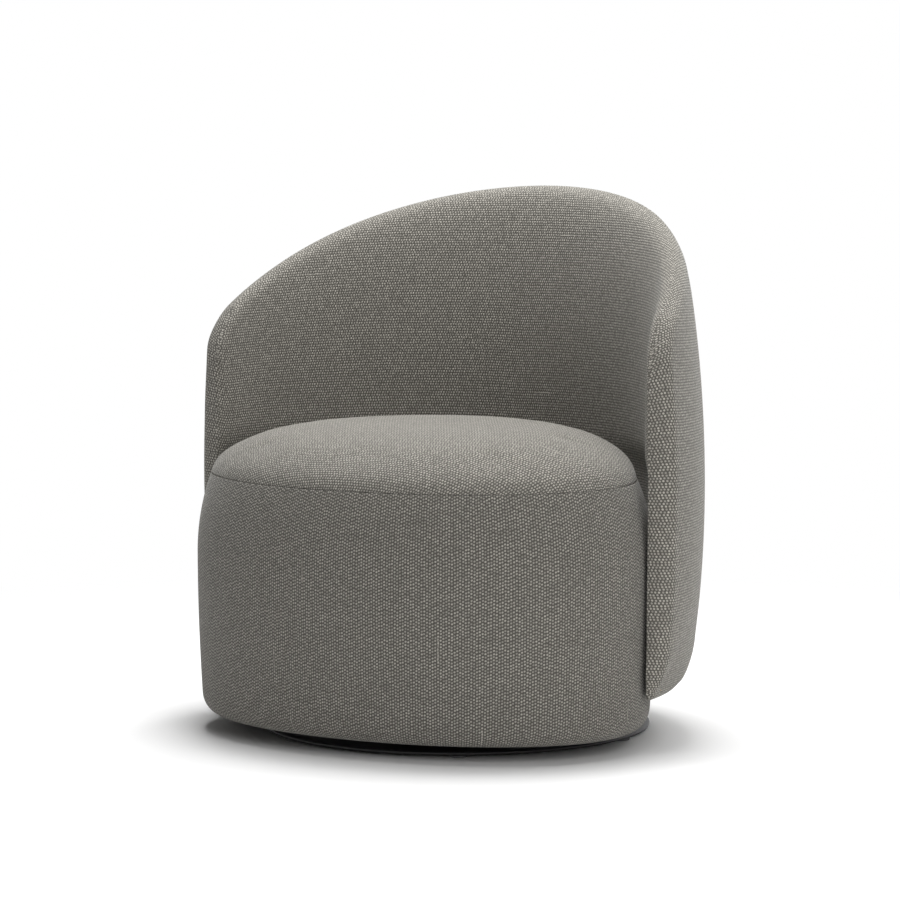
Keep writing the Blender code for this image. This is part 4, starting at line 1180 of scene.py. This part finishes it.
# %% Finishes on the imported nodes
finishes = {"floor_glide": nylon, "ball_cage": nylon, "swivel_lower_plate": zinc,
            "swivel_upper_plate": zinc, "back_spacer": zinc, "swivel_kingpin": steel,
            "lower_plate_screw": steel, "upper_plate_bolt": steel, "bearing_ball": steel,
            "back_bolt": steel, "seat_base_board": board_ply, "seat_top_ring": board_ply,
            "back_shell": shell_ply, "seat_post": beech, "seat_side_panel": hardboard}
finished = 0
for name, node in nodes.items():
    for start, finish in finishes.items():
        if name.startswith(start):
            for slot in node.material_slots:
                slot.material = finish
            finished += 1
print(finished, "packed nodes have their own finish")

# %% [markdown]
# ## The studio
#
# A white cut-out look needs a floor and a world that the camera sees as white, while the light
# on the chair stays plain. The world has two strengths: 1 for the camera and for mirrors, and
# a softer one for lighting. A wide lamp overhead gives the gentle fall from the seat's top to
# its band, and the floor keeps the soft shadow round the base.

# %% Studio
floor_half = 40
floor_mesh = bpy.data.meshes.new("studio_floor")
floor_mesh.from_pydata([(-floor_half, -floor_half, 0), (floor_half, -floor_half, 0),
                        (floor_half, floor_half, 0), (-floor_half, floor_half, 0)],
                       [], [(0, 1, 2, 3)])
floor = bpy.data.objects.new("studio_floor", floor_mesh)
scene.collection.objects.link(floor)
floor_material, tree, floor_shader = new_material(
    "studio_floor", Base_Color=(0.90, 0.90, 0.90, 1), Roughness=0.9, Specular_IOR_Level=0.1)
floor_mesh.materials.append(floor_material)
place = add(tree, "ShaderNodeTexCoord")["Object"]
away = add(tree, "ShaderNodeVectorMath", {0: place}, operation="LENGTH")["Value"]
path = add(tree, "ShaderNodeLightPath")
whiteness = away.ramp(0.9, 1.7) * path["Is Camera Ray"].math("MAXIMUM", path["Is Glossy Ray"])
white = add(tree, "ShaderNodeEmission", {"Color": (1, 1, 1, 1), "Strength": 1.0})[0]
mixed = add(tree, "ShaderNodeMixShader", {0: whiteness, 1: Value(tree, floor_shader.outputs[0]),
                                          2: white})[0]
plug(tree.nodes["Material Output"].inputs["Surface"], mixed)

world_light = 0.10
world = bpy.data.worlds.new("studio_world")
scene.world = world
world.use_nodes = True
tree = world.node_tree
tree.nodes.clear()
path = add(tree, "ShaderNodeLightPath")
seen = path["Is Glossy Ray"].math("MAXIMUM", path["Is Transmission Ray"])
seen = path["Is Camera Ray"].math("MAXIMUM", seen)
background = add(tree, "ShaderNodeBackground", {
    "Color": (1, 1, 1, 1), "Strength": seen * (1.0 - world_light) + world_light})[0]
add(tree, "ShaderNodeOutputWorld", {0: background})

lamp_aim = np.array([0, 0, 0.35])
lamps = {"overhead_lamp": ((-0.38, 0.63, 3.2), 1.4, 77), "middle_lamp": ((0, -0.2, 3.2), 1.4, 37),
         "rear_lamp": ((0.6, 1.6, 2.6), 2.0, 42), "side_lamp": ((2.3, -1.9, 1.5), 2.0, 40)}
for name, (place, size, power) in lamps.items():
    light = bpy.data.lights.new(name, "AREA")
    light.shape = "SQUARE"
    light.size = size
    light.energy = power
    lamp = bpy.data.objects.new(name, light)
    look = lamp_aim - place
    flat = np.hypot(look[0], look[1])
    lamp.location = place
    lamp.rotation_euler = (np.arctan2(flat, -look[2]), 0, np.arctan2(look[1], look[0]) - np.pi / 2)
    scene.collection.objects.link(lamp)
